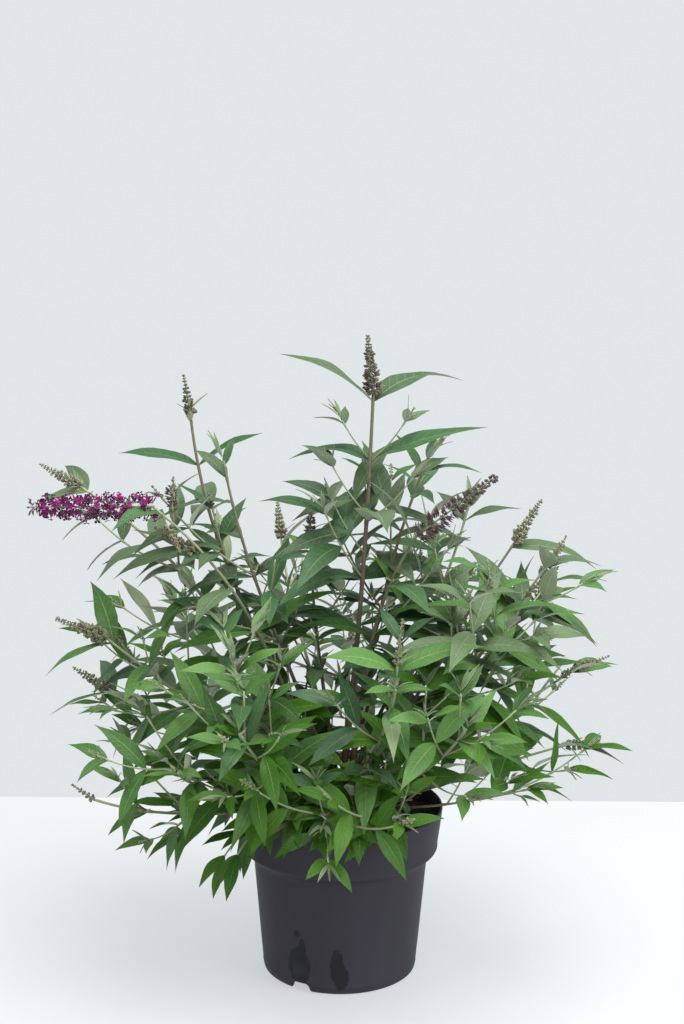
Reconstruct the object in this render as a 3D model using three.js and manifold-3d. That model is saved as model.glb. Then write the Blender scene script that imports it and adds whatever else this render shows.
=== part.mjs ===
// Potted butterfly bush: a nursery pot filled with soil, a short woody rootstock,
// and thirty canes that each end in a mass of paired leaves and a flower spike.
// Millimetres, +Z up. The origin is the centre of the pot's flat underside.

import * as THREE from 'three';
import { mergeVertices } from 'three/addons/utils/BufferGeometryUtils.js';
import Module from 'manifold-3d';

// ---------------------------------------------------------------- dimensions

const GAP = 0.35;                 // clear space left between neighbouring solids

const pot = {
  height: 170,
  footRadius: 76.6,
  bodyTopRadius: 86.6,
  bodyTop: 117,                   // where the body turns out into the collar
  collarBottomRadius: 96.8,
  collarBottom: 128.5,
  rimRadius: 101.4,
  wall: 1.6,
  floor: 3,
  sides: 32,
  notches: 3,
  notchAzimuth: 240,
  notchWidth: 21,
  notchHeight: 8,
  notchReach: 11,
};

const soil = {
  edge: 156,                      // level at the wall
  level: 159,                     // level round the rootstock
};

const rootstock = {
  height: 27,
  sides: 12,
  profile: [[25, 0], [21, 4], [19.4, 11], [16, 18], [9.5, 24]],
  footCentre: 4,                  // height of the dome that the canes start on
  footDome: [17, 18],             // its level and upright half axes, inside the wood
};

const bough = {
  sides: 6,
  tip: 1.9,
  base: 1.9,
  thickening: 1 / 300,            // added to the base radius per mm of cane
};

const twig = {
  stemSides: 3,
  stemTip: 1.15,
  shootSides: 3,
  shootBase: 1.4,
  shootTip: 0.85,
  axil: 2.2,                      // how far a shoot starts above its leaf
};

const leaf = {
  widest: 0.42,                   // share of the length where the blade is widest
  slender: 0.225,                 // width as a share of the length
  thickness: 0.03,                // from the keel up to the margins
  sunk: 0.45,                     // how far the root goes past the twig's axis
  outlook: 0.8,                   // how far blades face outwards rather than up
  grown: 88,                      // length of a leaf on a full-sized cane
};

// How a cane bears its leaf pairs, counted from its end downwards.
const flowering = {
  firstNode: 7,
  internodes: [50, 52, 50, 46],
  sizes: [0.86, 1, 1, 0.96, 0.9],
  open: [46, 56, 62, 66],
};

const bracted = {
  ...flowering,
  sizes: [0.3, 0.95, 1, 0.96, 0.9],
};

const leafy = {
  firstNode: 4.5,
  internodes: [13, 28, 42, 48],
  sizes: [0.4, 0.68, 0.92, 1, 0.94],
  open: [30, 46, 58, 64],
};

const shoot = {
  shortest: 32,
  longest: 116,                   // about a third of the way down a cane
  open: 47,
  endNode: 4.5,                   // of the end pair, below the shoot's end
  pairSpacing: 39,
  leafShare: 0.66,
  spikeLonger: 96,                // shoots longer than this end in a small spike
  spike: 18,
  share: 0.25,                    // of the leaf axils below the end pair bear one
};

const space = {
  reach: 150,                     // no leaf goes further than this from its own cane
  joint: 6,                       // pieces rooted this close together may join
  bareRim: [-48, 24],             // azimuths between which no leaf hangs below the rim
  eye: [0, -1800, 825],           // the place in front that the gaps are seen from
  gaps: [                         // [x from, to, z from, to] on the upright plane y = 0
    [-134, -79, 478, 506],
    [-90, -57, 478, 539],
    [-90, -61, 425, 453],
    [130, 181, 423, 455],
    [215, 255, 256, 294],
  ],
};

const spikes = {
  bud: { slender: 0.13, sides: 5, rings: [0.8, 1, 0.62, 0.74, 0.4, 0.42] },
  head: { slender: 0.3, sides: 4, rings: [0.8, 1, 0.6] },
  bloom: { slender: 0.115, sides: 7, rings: [0.8, 1, 0.82, 1, 0.76, 0.9, 0.6, 0.62, 0.3] },
  faded: { slender: 0.085, sides: 5, rings: [0.8, 1, 0.7, 0.9, 0.56, 0.7, 0.42, 0.46] },
};

// Each cane: the end of its stem, how steeply it leaves the rootstock (lift) and
// how steeply it ends (lean), its spike as [kind, length, pitch], the length of its
// largest leaves, the turn of its end pair, how bushy it is, and the bare share at its foot.
// Each pair is turned a quarter round from the next, unless the cane states its own step.
const canes = [
  { name: 'leader', seed: 13, foot: [-84, 81], end: [28, 0, 580], lift: 84, lean: 88,
    habit: flowering, spike: ['bud', 58, 96], bushy: 1.7, leaf: 104, turn: 63, step: 54,
    bare: 0.24 },
  { name: 'left_tall', seed: 23, foot: [145, 57], end: [-150, 40, 554], lift: 66, lean: 84,
    habit: bracted, spike: ['bud', 40, 80], bushy: 0.9, leaf: 78, turn: 164, bare: 0.26 },
  { name: 'left_inner', seed: 37, foot: [-170, 68], end: [-114, -20, 518], lift: 74, lean: 80,
    habit: leafy, spike: ['head', 16, 70], bushy: 1, leaf: 76, turn: 80, bare: 0.28 },
  { name: 'left_flowering', seed: 41, foot: [-146, 49], end: [-178, -60, 481], lift: 66, lean: 40,
    habit: flowering, spike: ['bloom', 118, 3], bushy: 1, leaf: 86, turn: 20, bare: 0.26 },
  { name: 'left_upper', seed: 53, foot: [180, 46], end: [-252, -6, 489], lift: 60, lean: 34,
    habit: flowering, spike: ['bud', 46, 30], bushy: 1, leaf: 64, turn: 40, bare: 0.4 },
  { name: 'left_spike', seed: 67, foot: [-169, 28], end: [-226, -30, 345], lift: 36, lean: 40,
    habit: flowering, spike: ['bud', 54, 24], bushy: 1, leaf: 84, turn: 60, bare: 0.24 },
  { name: 'left_back', seed: 71, foot: [163, 28], end: [-238, 72, 264], lift: 28, lean: 28,
    habit: flowering, spike: ['bud', 46, 26], bushy: 0.9, leaf: 84, turn: 30, bare: 0.22 },
  { name: 'left_low', seed: 83, foot: [-161, 8], end: [-235, -82, 201], lift: 8, lean: 24,
    habit: flowering, spike: ['bud', 28, 40], bushy: 0.8, leaf: 82, turn: 50, bare: 0.2 },
  { name: 'front_left_low', seed: 97, foot: [-145, 18], end: [-165, -112, 252], lift: 18, lean: 44,
    habit: leafy, spike: ['head', 12, 50], bushy: 0.9, leaf: 82, turn: 10, bare: 0 },
  { name: 'front_left', seed: 101, foot: [-120, 30], end: [-92, -160, 293], lift: 30, lean: 52,
    habit: leafy, spike: ['head', 14, 70], bushy: 1, leaf: 84, turn: 0, bare: 0.2 },
  { name: 'front_left_tall', seed: 113, foot: [-113, 51], end: [-100, -118, 352], lift: 56, lean: 80,
    habit: leafy, spike: ['head', 14, 80], bushy: 1, leaf: 80, turn: 40, bare: 0.24 },
  { name: 'centre', seed: 127, foot: [119, 76], end: [-32, 22, 438], lift: 80, lean: 88,
    habit: flowering, spike: ['bud', 38, 92], bushy: 0.75, leaf: 74, turn: 60, bare: 0.24 },
  { name: 'right_flowering', seed: 131, foot: [-32, 64], end: [71, -20, 447], lift: 80, lean: 58,
    habit: flowering, spike: ['faded', 98, 39], bushy: 1, leaf: 88, turn: 66, bare: 0.24 },
  { name: 'right_inner', seed: 149, foot: [32, 72], end: [84, 34, 516], lift: 78, lean: 66,
    habit: leafy, spike: ['head', 20, 50], bushy: 1.1, leaf: 74, turn: 20, bare: 0.26 },
  { name: 'right_back_tall', seed: 151, foot: [41, 51], end: [128, 100, 455], lift: 68, lean: 74,
    habit: leafy, spike: ['head', 14, 70], bushy: 1, leaf: 84, turn: 70, bare: 0.26 },
  { name: 'right_spike', seed: 163, foot: [5, 54], end: [169, 20, 433], lift: 55, lean: 56,
    habit: flowering, spike: ['bud', 50, 59], bushy: 0.9, leaf: 88, turn: 80, bare: 0.26 },
  { name: 'right_upper', seed: 173, foot: [-12, 37], end: [196, -44, 427], lift: 48, lean: 56,
    habit: flowering, spike: ['bud', 32, 60], bushy: 1, leaf: 84, turn: 20, bare: 0.28 },
  { name: 'front_right', seed: 181, foot: [-39, 44], end: [156, -90, 377], lift: 46, lean: 54,
    habit: leafy, spike: ['head', 12, 60], bushy: 1, leaf: 100, turn: 8, bare: 0.24 },
  { name: 'right_middle', seed: 191, foot: [9, 27], end: [235, 30, 302], lift: 26, lean: 32,
    habit: flowering, spike: ['bud', 36, 20], bushy: 0.8, leaf: 88, turn: 36, bare: 0.22 },
  { name: 'right_low', seed: 211, foot: [-2, 11], end: [222, -4, 233], lift: 12, lean: 16,
    habit: flowering, spike: ['bud', 36, 3], bushy: 0.75, leaf: 92, turn: 54, bare: 0.2 },
  { name: 'front_right_low', seed: 223, foot: [-28, 10], end: [178, -96, 220], lift: 10, lean: 22,
    habit: leafy, spike: ['head', 10, 30], bushy: 1, leaf: 90, turn: 0, bare: 0 },
  { name: 'front_spike', seed: 227, foot: [-72, 46], end: [50, -150, 356], lift: 46, lean: 78,
    habit: flowering, spike: ['bud', 30, 80], bushy: 0.9, leaf: 88, turn: 12, bare: 0.24 },
  { name: 'rim_left', seed: 239, foot: [-96, 22], end: [-16, -142, 200], lift: 22, lean: 4,
    habit: leafy, spike: ['head', 8, 10], bushy: 1, leaf: 74, turn: 0, bare: 0 },
  { name: 'rim_right', seed: 241, foot: [-68, 16], end: [56, -128, 196], lift: 18, lean: 6,
    habit: leafy, spike: ['head', 8, 10], bushy: 1, leaf: 72, turn: 10, bare: 0 },
  { name: 'front_middle', seed: 257, foot: [-56, 30], end: [112, -165, 300], lift: 30, lean: 50,
    habit: leafy, spike: ['head', 12, 60], bushy: 1, leaf: 88, turn: 4, bare: 0.22 },
  { name: 'back_tall', seed: 263, foot: [104, 55], end: [-66, 190, 398], lift: 62, lean: 66,
    habit: flowering, spike: ['bud', 44, 70], bushy: 1, leaf: 88, turn: 50, bare: 0.26 },
  { name: 'back_right_tall', seed: 271, foot: [73, 46], end: [74, 192, 380], lift: 56, lean: 60,
    habit: leafy, spike: ['head', 14, 70], bushy: 1, leaf: 88, turn: 30, bare: 0.26 },
  { name: 'back_right', seed: 283, foot: [47, 31], end: [165, 175, 305], lift: 34, lean: 40,
    habit: flowering, spike: ['bud', 42, 36], bushy: 0.9, leaf: 88, turn: 40, bare: 0.22 },
  { name: 'back_left', seed: 293, foot: [135, 37], end: [-172, 172, 320], lift: 38, lean: 40,
    habit: leafy, spike: ['head', 12, 50], bushy: 1, leaf: 90, turn: 40, bare: 0.22 },
  { name: 'back_low', seed: 311, foot: [88, 24], end: [10, 238, 268], lift: 24, lean: 36,
    habit: flowering, spike: ['bud', 38, 30], bushy: 0.9, leaf: 88, turn: 20, bare: 0.22 },
];

// ----------------------------------------------------------------- materials

const colours = {
  pot: new THREE.MeshStandardMaterial({ color: 0x37363d, roughness: 0.55, metalness: 0 }),
  soil: new THREE.MeshStandardMaterial({ color: 0x2a1d14, roughness: 0.95, metalness: 0 }),
  wood: new THREE.MeshStandardMaterial({ color: 0x86724c, roughness: 0.8, metalness: 0 }),
  foliage: new THREE.MeshStandardMaterial({ color: 0x55784c, roughness: 0.6, metalness: 0 }),
};

// ------------------------------------------------------------ solid geometry

const wasm = await Module();
wasm.setup();

function solidFromArrays(positions, indices) {
  const mesh = new wasm.Mesh({
    numProp: 3,
    vertProperties: new Float32Array(positions),
    triVerts: new Uint32Array(indices),
  });
  return new wasm.Manifold(mesh);
}

function solidFromGeometry(geometry) {
  const bare = geometry.clone();
  bare.deleteAttribute('normal');
  bare.deleteAttribute('uv');
  const merged = mergeVertices(bare, 1e-4);
  const indices = [];
  for (let i = 0; i < merged.index.count; i += 3) {
    const [a, b, c] = [0, 1, 2].map((corner) => merged.index.getX(i + corner));
    if (a !== b && b !== c && c !== a) indices.push(a, b, c);
  }
  return solidFromArrays(merged.attributes.position.array, indices);
}

// A closed body through rings of equal count; a ring of one point is an apex.
function loft(rings) {
  const positions = rings.flat().flatMap((point) => [point.x, point.y, point.z]);
  const indices = [];
  const starts = [];
  let count = 0;
  for (const ring of rings) {
    starts.push(count);
    count += ring.length;
  }
  for (let r = 0; r + 1 < rings.length; r += 1) {
    const [low, high] = [rings[r].length, rings[r + 1].length];
    for (let i = 0; i < Math.max(low, high); i += 1) {
      const j = i + 1;
      const a = starts[r] + (i % low);
      const b = starts[r] + (j % low);
      const c = starts[r + 1] + (j % high);
      const d = starts[r + 1] + (i % high);
      if (low > 1) indices.push(a, b, c);
      if (high > 1) indices.push(a, c, d);
    }
  }
  const last = rings.length - 1;
  for (let i = 1; i + 1 < rings[0].length; i += 1) {
    indices.push(starts[0], starts[0] + i + 1, starts[0] + i);
  }
  for (let i = 1; i + 1 < rings[last].length; i += 1) {
    indices.push(starts[last], starts[last] + i, starts[last] + i + 1);
  }
  return solidFromArrays(positions, indices);
}

function lathe(profile, sides) {
  const points = profile.map(([radius, height]) => new THREE.Vector2(radius, height));
  return solidFromGeometry(new THREE.LatheGeometry(points, sides).rotateX(Math.PI / 2));
}

function meshFromSolid(name, solid, material) {
  const { numProp, vertProperties, triVerts } = solid.getMesh();
  const positions = [];
  for (let i = 0; i < vertProperties.length; i += numProp) {
    positions.push(vertProperties[i], vertProperties[i + 1], vertProperties[i + 2]);
  }
  const geometry = new THREE.BufferGeometry();
  geometry.setAttribute('position', new THREE.Float32BufferAttribute(positions, 3));
  geometry.setIndex([...triVerts]);
  geometry.computeVertexNormals();
  const mesh = new THREE.Mesh(geometry, material);
  mesh.name = name;
  return mesh;
}

// -------------------------------------------------------------- growing rule

const UP = new THREE.Vector3(0, 0, 1);
const radians = THREE.MathUtils.degToRad;

// Park-Miller numbers, so that a seed always grows the same cane.
function seededDraws(seed) {
  let state = seed;
  const next = () => {
    state = (state * 48271) % 2147483647;
    return state / 2147483647;
  };
  for (let i = 0; i < 5; i += 1) next();
  return (low, high) => low + (high - low) * next();
}

function heading(azimuth, pitch) {
  const level = Math.cos(pitch);
  return new THREE.Vector3(level * Math.cos(azimuth), level * Math.sin(azimuth), Math.sin(pitch));
}

function along(start, direction, distance) {
  return start.clone().addScaledVector(direction, distance);
}

// A limb bends in one upright plane, so one level vector serves all its sections.
function makeLimb(start, end, startHeading, endHeading, side) {
  const length = start.distanceTo(end);
  const curve = new THREE.CubicBezierCurve3(
    start,
    along(start, startHeading, 0.38 * length),
    along(end, endHeading, -0.38 * length),
    end,
  );
  return { curve, length, side };
}

function sectionAxes(limb, t) {
  const tangent = limb.curve.getTangent(t);
  const rise = new THREE.Vector3().crossVectors(limb.side, tangent).normalize();
  return { tangent, rise };
}

function ring(limb, t, radius, sides, shift = 0) {
  const { tangent, rise } = sectionAxes(limb, t);
  const centre = along(limb.curve.getPoint(t), tangent, shift);
  return Array.from({ length: sides }, (_, i) => {
    const angle = (2 * Math.PI * i) / sides;
    return along(along(centre, limb.side, -radius * Math.cos(angle)), rise, radius * Math.sin(angle));
  });
}

function limbSolid(limb, from, to, baseRadius, tipRadius, sides, pitch, shift = 0) {
  const steps = Math.max(2, Math.round(((to - from) * limb.length) / pitch));
  const rings = [];
  for (let i = 0; i <= steps; i += 1) {
    const share = i / steps;
    const radius = THREE.MathUtils.lerp(baseRadius, tipRadius, share);
    rings.push(ring(limb, from + (to - from) * share, radius, sides, i === 0 ? shift : 0));
  }
  return loft(rings);
}

function caneLimb(cane) {
  const end = new THREE.Vector3(...cane.end);
  const [level, upright] = rootstock.footDome;
  const start = heading(radians(cane.foot[0]), radians(cane.foot[1]));
  start.multiply(new THREE.Vector3(level, level, upright));
  start.z += soil.level + GAP + rootstock.footCentre;
  const azimuth = Math.atan2(end.y - start.y, end.x - start.x);
  const side = heading(azimuth + Math.PI / 2, 0);
  const [lift, lean] = [radians(cane.lift), radians(cane.lean)];
  return makeLimb(start, end, heading(azimuth, lift), heading(azimuth, lean), side);
}

// A leaf leaves its limb at t, turned round it, and sags along a bent midrib.
function makeLeaf(limb, t, turn, open, length, draw) {
  const { tangent, rise } = sectionAxes(limb, t);
  const outward = along(new THREE.Vector3(), limb.side, Math.cos(turn));
  outward.addScaledVector(rise, Math.sin(turn));
  const leave = along(tangent.clone().multiplyScalar(Math.cos(open)), outward, Math.sin(open));
  const size = length * draw(0.86, 1.1);
  const sag = draw(0.25, 0.6) * Math.sqrt(size / 90);
  const roll = draw(-0.45, 0.45);
  const root = along(limb.curve.getPoint(t), outward, -leaf.sunk);
  const bend = along(root, leave, size * 0.5);
  const chord = along(leave, UP, -sag).normalize();
  const tip = along(root, chord, size);
  const width = size * (leaf.slender + 0.035 * (1 - Math.min(1, size / 90)));
  const away = new THREE.Vector3(root.x, root.y, 0).normalize();
  const sky = along(UP, away, leaf.outlook).normalize();
  return { root, bend, tip, size, width, roll, sky, outward };
}

function leafRing(blade, t, half, thick) {
  const rib = new THREE.QuadraticBezierCurve3(blade.root, blade.bend, blade.tip);
  const centre = rib.getPoint(t);
  const direction = rib.getTangent(t);
  const across = new THREE.Vector3().crossVectors(direction, blade.sky);
  if (across.length() < 0.25) across.crossVectors(direction, blade.outward);
  across.normalize().applyAxisAngle(direction, blade.roll);
  const normal = new THREE.Vector3().crossVectors(across, direction);
  const above = along(centre, normal, thick);
  return [along(above, across, -half), along(above, across, half), along(centre, normal, -thick)];
}

function leafSolid(blade, extra = 0) {
  const tip = along(blade.tip, new THREE.Vector3().subVectors(blade.tip, blade.bend).normalize(), extra);
  const thick = (blade.size * leaf.thickness) / 2;
  return loft([
    [blade.root],
    leafRing(blade, leaf.widest, blade.width / 2 + extra, thick + extra),
    [tip],
  ]);
}

// Side shoots bend upwards, bear two to four leaf pairs, and may end in a spike.
function growShoot(limb, t, turn, length, leafSize, draw) {
  const { tangent, rise } = sectionAxes(limb, t);
  const outward = along(new THREE.Vector3(), limb.side, Math.cos(turn));
  outward.addScaledVector(rise, Math.sin(turn));
  const open = radians(shoot.open + draw(-8, 8));
  const leave = along(tangent.clone().multiplyScalar(Math.cos(open)), outward, Math.sin(open));
  const start = limb.curve.getPoint(t);
  const end = along(start, along(leave, UP, 0.25).normalize(), length);
  const side = new THREE.Vector3().crossVectors(UP, leave);
  if (side.length() < 0.2) side.copy(limb.side);
  side.normalize();
  const branch = makeLimb(start, end, leave, along(leave, UP, 0.55).normalize(), side);
  const pairs = Math.max(1, Math.round(length / shoot.pairSpacing));
  const leaves = [];
  for (let p = 0; p < pairs; p += 1) {
    const at = 1 - (shoot.endNode + p * shoot.pairSpacing) / length;
    const twist = (p % 2) * (Math.PI / 2) + draw(-0.35, 0.35);
    const size = leafSize * (p === 0 ? 0.72 : 1);
    const spread = radians(p === 0 ? 40 : 58);
    for (const half of [0, 1]) {
      leaves.push(makeLeaf(branch, Math.max(0.3, at), twist + half * Math.PI, spread, size, draw));
    }
  }
  return { branch, leaves, length };
}

function growCane(cane) {
  const draw = seededDraws(cane.seed);
  const limb = caneLimb(cane);
  const { habit } = cane;
  const pick = (list, k) => list[Math.min(k, list.length - 1)];
  const nodes = [];
  let below = habit.firstNode;
  for (let k = 0; 1 - below / limb.length > cane.bare + 0.06; k += 1) {
    const t = 1 - below / limb.length;
    const turn = radians(cane.turn + (cane.step ?? 90) * k + draw(-12, 12));
    const size = cane.leaf * pick(habit.sizes, k);
    const open = radians(pick(habit.open, k));
    const pair = [0, 1].map((half) => makeLeaf(limb, t, turn + half * Math.PI, open, size, draw));
    const down = Math.min(1, (1 - t) / 0.66);
    const longest = shoot.shortest + (shoot.longest - shoot.shortest) * Math.sin(Math.PI * down);
    const sides = [0, 1].map((half) => {
      const vigour = draw(0, 1);
      const length = longest * draw(0.75, 1.1);
      const grown = growShoot(limb, t + twig.axil / limb.length, turn + half * Math.PI, length,
        cane.leaf * shoot.leafShare, draw);
      return { ...grown, bears: k > 0 && vigour < shoot.share * cane.bushy };
    });
    nodes.push({ k, pair, sides });
    below += pick(habit.internodes, k) * (cane.leaf / leaf.grown) * draw(0.9, 1.1);
  }
  return { cane, limb, nodes };
}

// ----------------------------------------------------------------- the parts

function potSolid() {
  const p = pot;
  const bodySlope = (p.bodyTopRadius - p.footRadius) / p.bodyTop;
  const inner = (radius) => radius - p.wall;
  let shell = lathe([
    [0, 0],
    [p.footRadius - 4.5, 0],
    [p.footRadius - 1.4, 1.2],
    [p.footRadius + 4.5 * bodySlope, 4.5],
    [p.bodyTopRadius, p.bodyTop],
    [p.bodyTopRadius + 2, p.bodyTop + 3.8],
    [p.collarBottomRadius - 2.4, p.collarBottom - 4.3],
    [p.collarBottomRadius, p.collarBottom],
    [p.rimRadius, p.height - 2.4],
    [p.rimRadius - 0.4, p.height],
    [inner(p.rimRadius) - 0.5, p.height],
    [inner(p.collarBottomRadius), p.collarBottom + 1],
    [inner(p.collarBottomRadius) - 1.8, p.collarBottom - 2.6],
    [inner(p.bodyTopRadius) + 1.9, p.bodyTop + 5.2],
    [inner(p.bodyTopRadius), p.bodyTop + 1],
    [inner(p.footRadius) - 0.6, p.floor],
    [0, p.floor],
  ], p.sides);
  for (let i = 0; i < p.notches; i += 1) {
    const notch = new THREE.BoxGeometry(p.notchReach, p.notchWidth, 2 * p.notchHeight);
    notch.translate(p.footRadius + 2 - p.notchReach / 2, 0, 0);
    notch.rotateZ(radians(p.notchAzimuth) + (2 * Math.PI * i) / p.notches);
    shell = shell.subtract(solidFromGeometry(notch));
  }
  return shell;
}

function soilSolid() {
  const p = pot;
  const slip = p.wall + GAP + 0.1;
  const collarSlope = (p.rimRadius - 1.2 - p.collarBottomRadius) / (p.height - p.collarBottom);
  const edgeRadius = p.collarBottomRadius + collarSlope * (soil.edge - p.collarBottom) - slip;
  return lathe([
    [0, p.floor + GAP],
    [p.footRadius - slip - 0.8, p.floor + GAP],
    [p.bodyTopRadius - slip, p.bodyTop + 1.4],
    [p.bodyTopRadius - slip + 1.6, p.bodyTop + 5.8],
    [p.collarBottomRadius - slip - 2.2, p.collarBottom - 2],
    [p.collarBottomRadius - slip, p.collarBottom + 1.8],
    [edgeRadius, soil.edge],
    [34, soil.level],
    [0, soil.level],
  ], p.sides);
}

function rootstockSolid(extra = 0) {
  const rings = rootstock.profile.map(([radius, height], level) => {
    const sides = rootstock.sides;
    return Array.from({ length: sides }, (_, i) => {
      const angle = (2 * Math.PI * i) / sides + 0.1 * level;
      const swell = 1 + 0.07 * Math.sin(3 * angle + level);
      return along(new THREE.Vector3(0, 0, soil.level + GAP + height - (level === 0 ? extra : 0)),
        heading(angle, 0), radius * swell + extra);
    });
  });
  rings.push([new THREE.Vector3(0, 0, soil.level + GAP + rootstock.height + extra)]);
  return loft(rings);
}

function spikeSolid(start, direction, side, length, kind) {
  const { slender, sides, rings } = spikes[kind];
  const rise = new THREE.Vector3().crossVectors(side, direction).normalize();
  const body = rings.map((share, level) => {
    const centre = along(start, direction, (length * (level + 0.35)) / rings.length);
    return Array.from({ length: sides }, (_, i) => {
      const angle = (2 * Math.PI * (i + (level % 2) / 2)) / sides;
      const reach = length * slender * share;
      return along(along(centre, side, -reach * Math.cos(angle)), rise, reach * Math.sin(angle));
    });
  });
  return loft([[along(start, direction, -2)], ...body, [along(start, direction, length)]]);
}

function boxOf(solid) {
  const { min, max } = solid.boundingBox();
  return new THREE.Box3(new THREE.Vector3(...min), new THREE.Vector3(...max));
}

const placed = [];                // every solid that stands, with its node and its root

function place(node, solid, root = null) {
  placed.push({ node, solid, root, box: boxOf(solid) });
}

function touches(solid, isJoined) {
  const box = boxOf(solid);
  return placed.some((other) => box.intersectsBox(other.box) && !isJoined(other)
    && solid.intersect(other.solid).volume() > 1e-6);
}

function nearestToCane(limb, point) {
  let nearest = Infinity;
  for (let i = 0; i <= 12; i += 1) {
    nearest = Math.min(nearest, limb.curve.getPoint(i / 12).distanceTo(point));
  }
  return nearest;
}

const group = new THREE.Group();
group.name = 'butterfly_bush';

const shell = potSolid();
const earth = soilSolid();
const wood = rootstockSolid();
place('pot', shell);
place('soil', earth);
place('rootstock', wood);
group.add(meshFromSolid('pot', shell, colours.pot));
group.add(meshFromSolid('soil', earth, colours.soil));
group.add(meshFromSolid('rootstock', wood, colours.wood));

const seat = rootstockSolid(GAP);
const grown = canes.map(growCane);
const masses = grown.map(({ cane, limb }) => {
  const node = `leaves_${cane.name}`;
  const baseRadius = (bough.base + limb.length * bough.thickening);
  const entry = Math.max(0.001, cane.bare);
  if (cane.bare > 0) {
    const bare = limbSolid(limb, 0, entry, baseRadius, bough.tip, bough.sides, 34).subtract(seat);
    place(`bough_${cane.name}`, bare);
    group.add(meshFromSolid(`bough_${cane.name}`, bare, colours.wood));
  }
  const stemRadius = cane.bare > 0 ? bough.tip : baseRadius;
  let stem = limbSolid(limb, entry, 1, stemRadius, twig.stemTip, twig.stemSides, 45, GAP);
  if (cane.bare === 0) stem = stem.subtract(seat);
  place(node, stem);
  return { node, pieces: [stem] };
});

grown.forEach(({ cane, limb }, index) => {
  const [kind, length, pitch] = cane.spike;
  const azimuth = Math.atan2(cane.end[1], cane.end[0]);
  const spike = spikeSolid(limb.curve.getPoint(1), heading(azimuth, radians(pitch)), limb.side,
    length, kind);
  place(masses[index].node, spike, limb.curve.getPoint(1));
  masses[index].pieces.push(spike);
});

const tally = { kept: 0, skipped: 0 };

// A piece may meet its parent limb and whatever else grows from the same node.
function tryPiece(index, solid, test, root, parent) {
  const { node, pieces } = masses[index];
  const isJoined = (other) => other.solid === parent
    || (other.node === node && other.root !== null && other.root.distanceTo(root) < space.joint);
  if (touches(test, isJoined)) {
    tally.skipped += 1;
    return false;
  }
  tally.kept += 1;
  place(node, solid, root);
  pieces.push(solid);
  return true;
}

// Seen from the eye, the crown's gaps stay open right through it.
function isInGap(point) {
  const [x, y, z] = space.eye;
  const share = -y / (point.y - y);
  const [across, height] = [x + (point.x - x) * share, z + (point.z - z) * share];
  return space.gaps.some(([left, right, low, high]) => (
    across > left && across < right && height > low && height < high));
}

function tryLeaf(index, blade, parent) {
  const azimuth = THREE.MathUtils.radToDeg(Math.atan2(blade.tip.y, blade.tip.x));
  const [from, to] = space.bareRim;
  const hangs = blade.tip.z < pot.height && azimuth > from && azimuth < to;
  if (hangs || nearestToCane(grown[index].limb, blade.tip) > space.reach) return;
  if (isInGap(blade.tip) || isInGap(blade.bend)) return;
  tryPiece(index, leafSolid(blade), leafSolid(blade, 0.3), blade.root, parent);
}

// The end pairs of every cane come first, then each lower node and its side shoots.
const deepest = Math.max(...grown.map(({ nodes }) => nodes.length));
for (let k = 0; k < deepest; k += 1) {
  grown.forEach(({ limb, nodes }, index) => {
    if (k >= nodes.length) return;
    const [stem] = masses[index].pieces;
    for (const blade of nodes[k].pair) tryLeaf(index, blade, stem);
    for (const { branch, leaves, length, bears } of nodes[k].sides) {
      if (!bears) continue;
      const axis = limbSolid(branch, 0, 1, twig.shootBase, twig.shootTip, twig.shootSides, 40);
      if (!tryPiece(index, axis, axis, branch.curve.getPoint(0), stem)) continue;
      for (const blade of leaves) tryLeaf(index, blade, axis);
      if (length > shoot.spikeLonger) {
        const direction = branch.curve.getTangent(1);
        const spike = spikeSolid(branch.curve.getPoint(1), direction, branch.side, shoot.spike, 'head');
        tryPiece(index, spike, spike, branch.curve.getPoint(1), axis);
      }
    }
  });
}

for (const { node, pieces } of masses) {
  const whole = wasm.Manifold.union(pieces).simplify(0.02);
  const [body] = whole.decompose().sort((a, b) => b.volume() - a.volume());
  group.add(meshFromSolid(node, body, colours.foliage));
}

export default group;
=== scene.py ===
# A potted butterfly bush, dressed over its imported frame. +Z up, the front faces -Y.
# Growth is worked out in millimetres, like the solids, and drawn in metres.
import math
import random

import bpy
from mathutils import Matrix, Vector, noise


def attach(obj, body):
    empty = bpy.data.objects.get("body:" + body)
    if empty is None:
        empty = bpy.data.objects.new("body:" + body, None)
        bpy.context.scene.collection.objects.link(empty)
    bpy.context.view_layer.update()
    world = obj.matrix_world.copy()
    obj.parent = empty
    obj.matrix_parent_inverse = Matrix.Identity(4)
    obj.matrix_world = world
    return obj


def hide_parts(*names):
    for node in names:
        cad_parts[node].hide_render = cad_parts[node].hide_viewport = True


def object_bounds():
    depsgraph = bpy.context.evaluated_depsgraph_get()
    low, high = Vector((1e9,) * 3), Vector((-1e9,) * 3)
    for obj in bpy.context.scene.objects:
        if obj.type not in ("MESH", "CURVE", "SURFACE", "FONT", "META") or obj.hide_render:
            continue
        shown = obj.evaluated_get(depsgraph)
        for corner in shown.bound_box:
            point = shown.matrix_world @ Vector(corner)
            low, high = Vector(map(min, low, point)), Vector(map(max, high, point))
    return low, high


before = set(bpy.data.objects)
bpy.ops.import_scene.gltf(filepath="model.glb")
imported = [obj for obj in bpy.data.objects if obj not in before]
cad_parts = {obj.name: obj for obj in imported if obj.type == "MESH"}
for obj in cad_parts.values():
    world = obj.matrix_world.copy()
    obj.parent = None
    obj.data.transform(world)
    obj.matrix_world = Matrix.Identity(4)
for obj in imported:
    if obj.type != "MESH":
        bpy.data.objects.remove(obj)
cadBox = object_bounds()
boxLow, boxHigh = (corner * 1000 for corner in cadBox)
up = Vector((0, 0, 1))
print("frame: loaded", len(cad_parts), "nodes")


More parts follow.
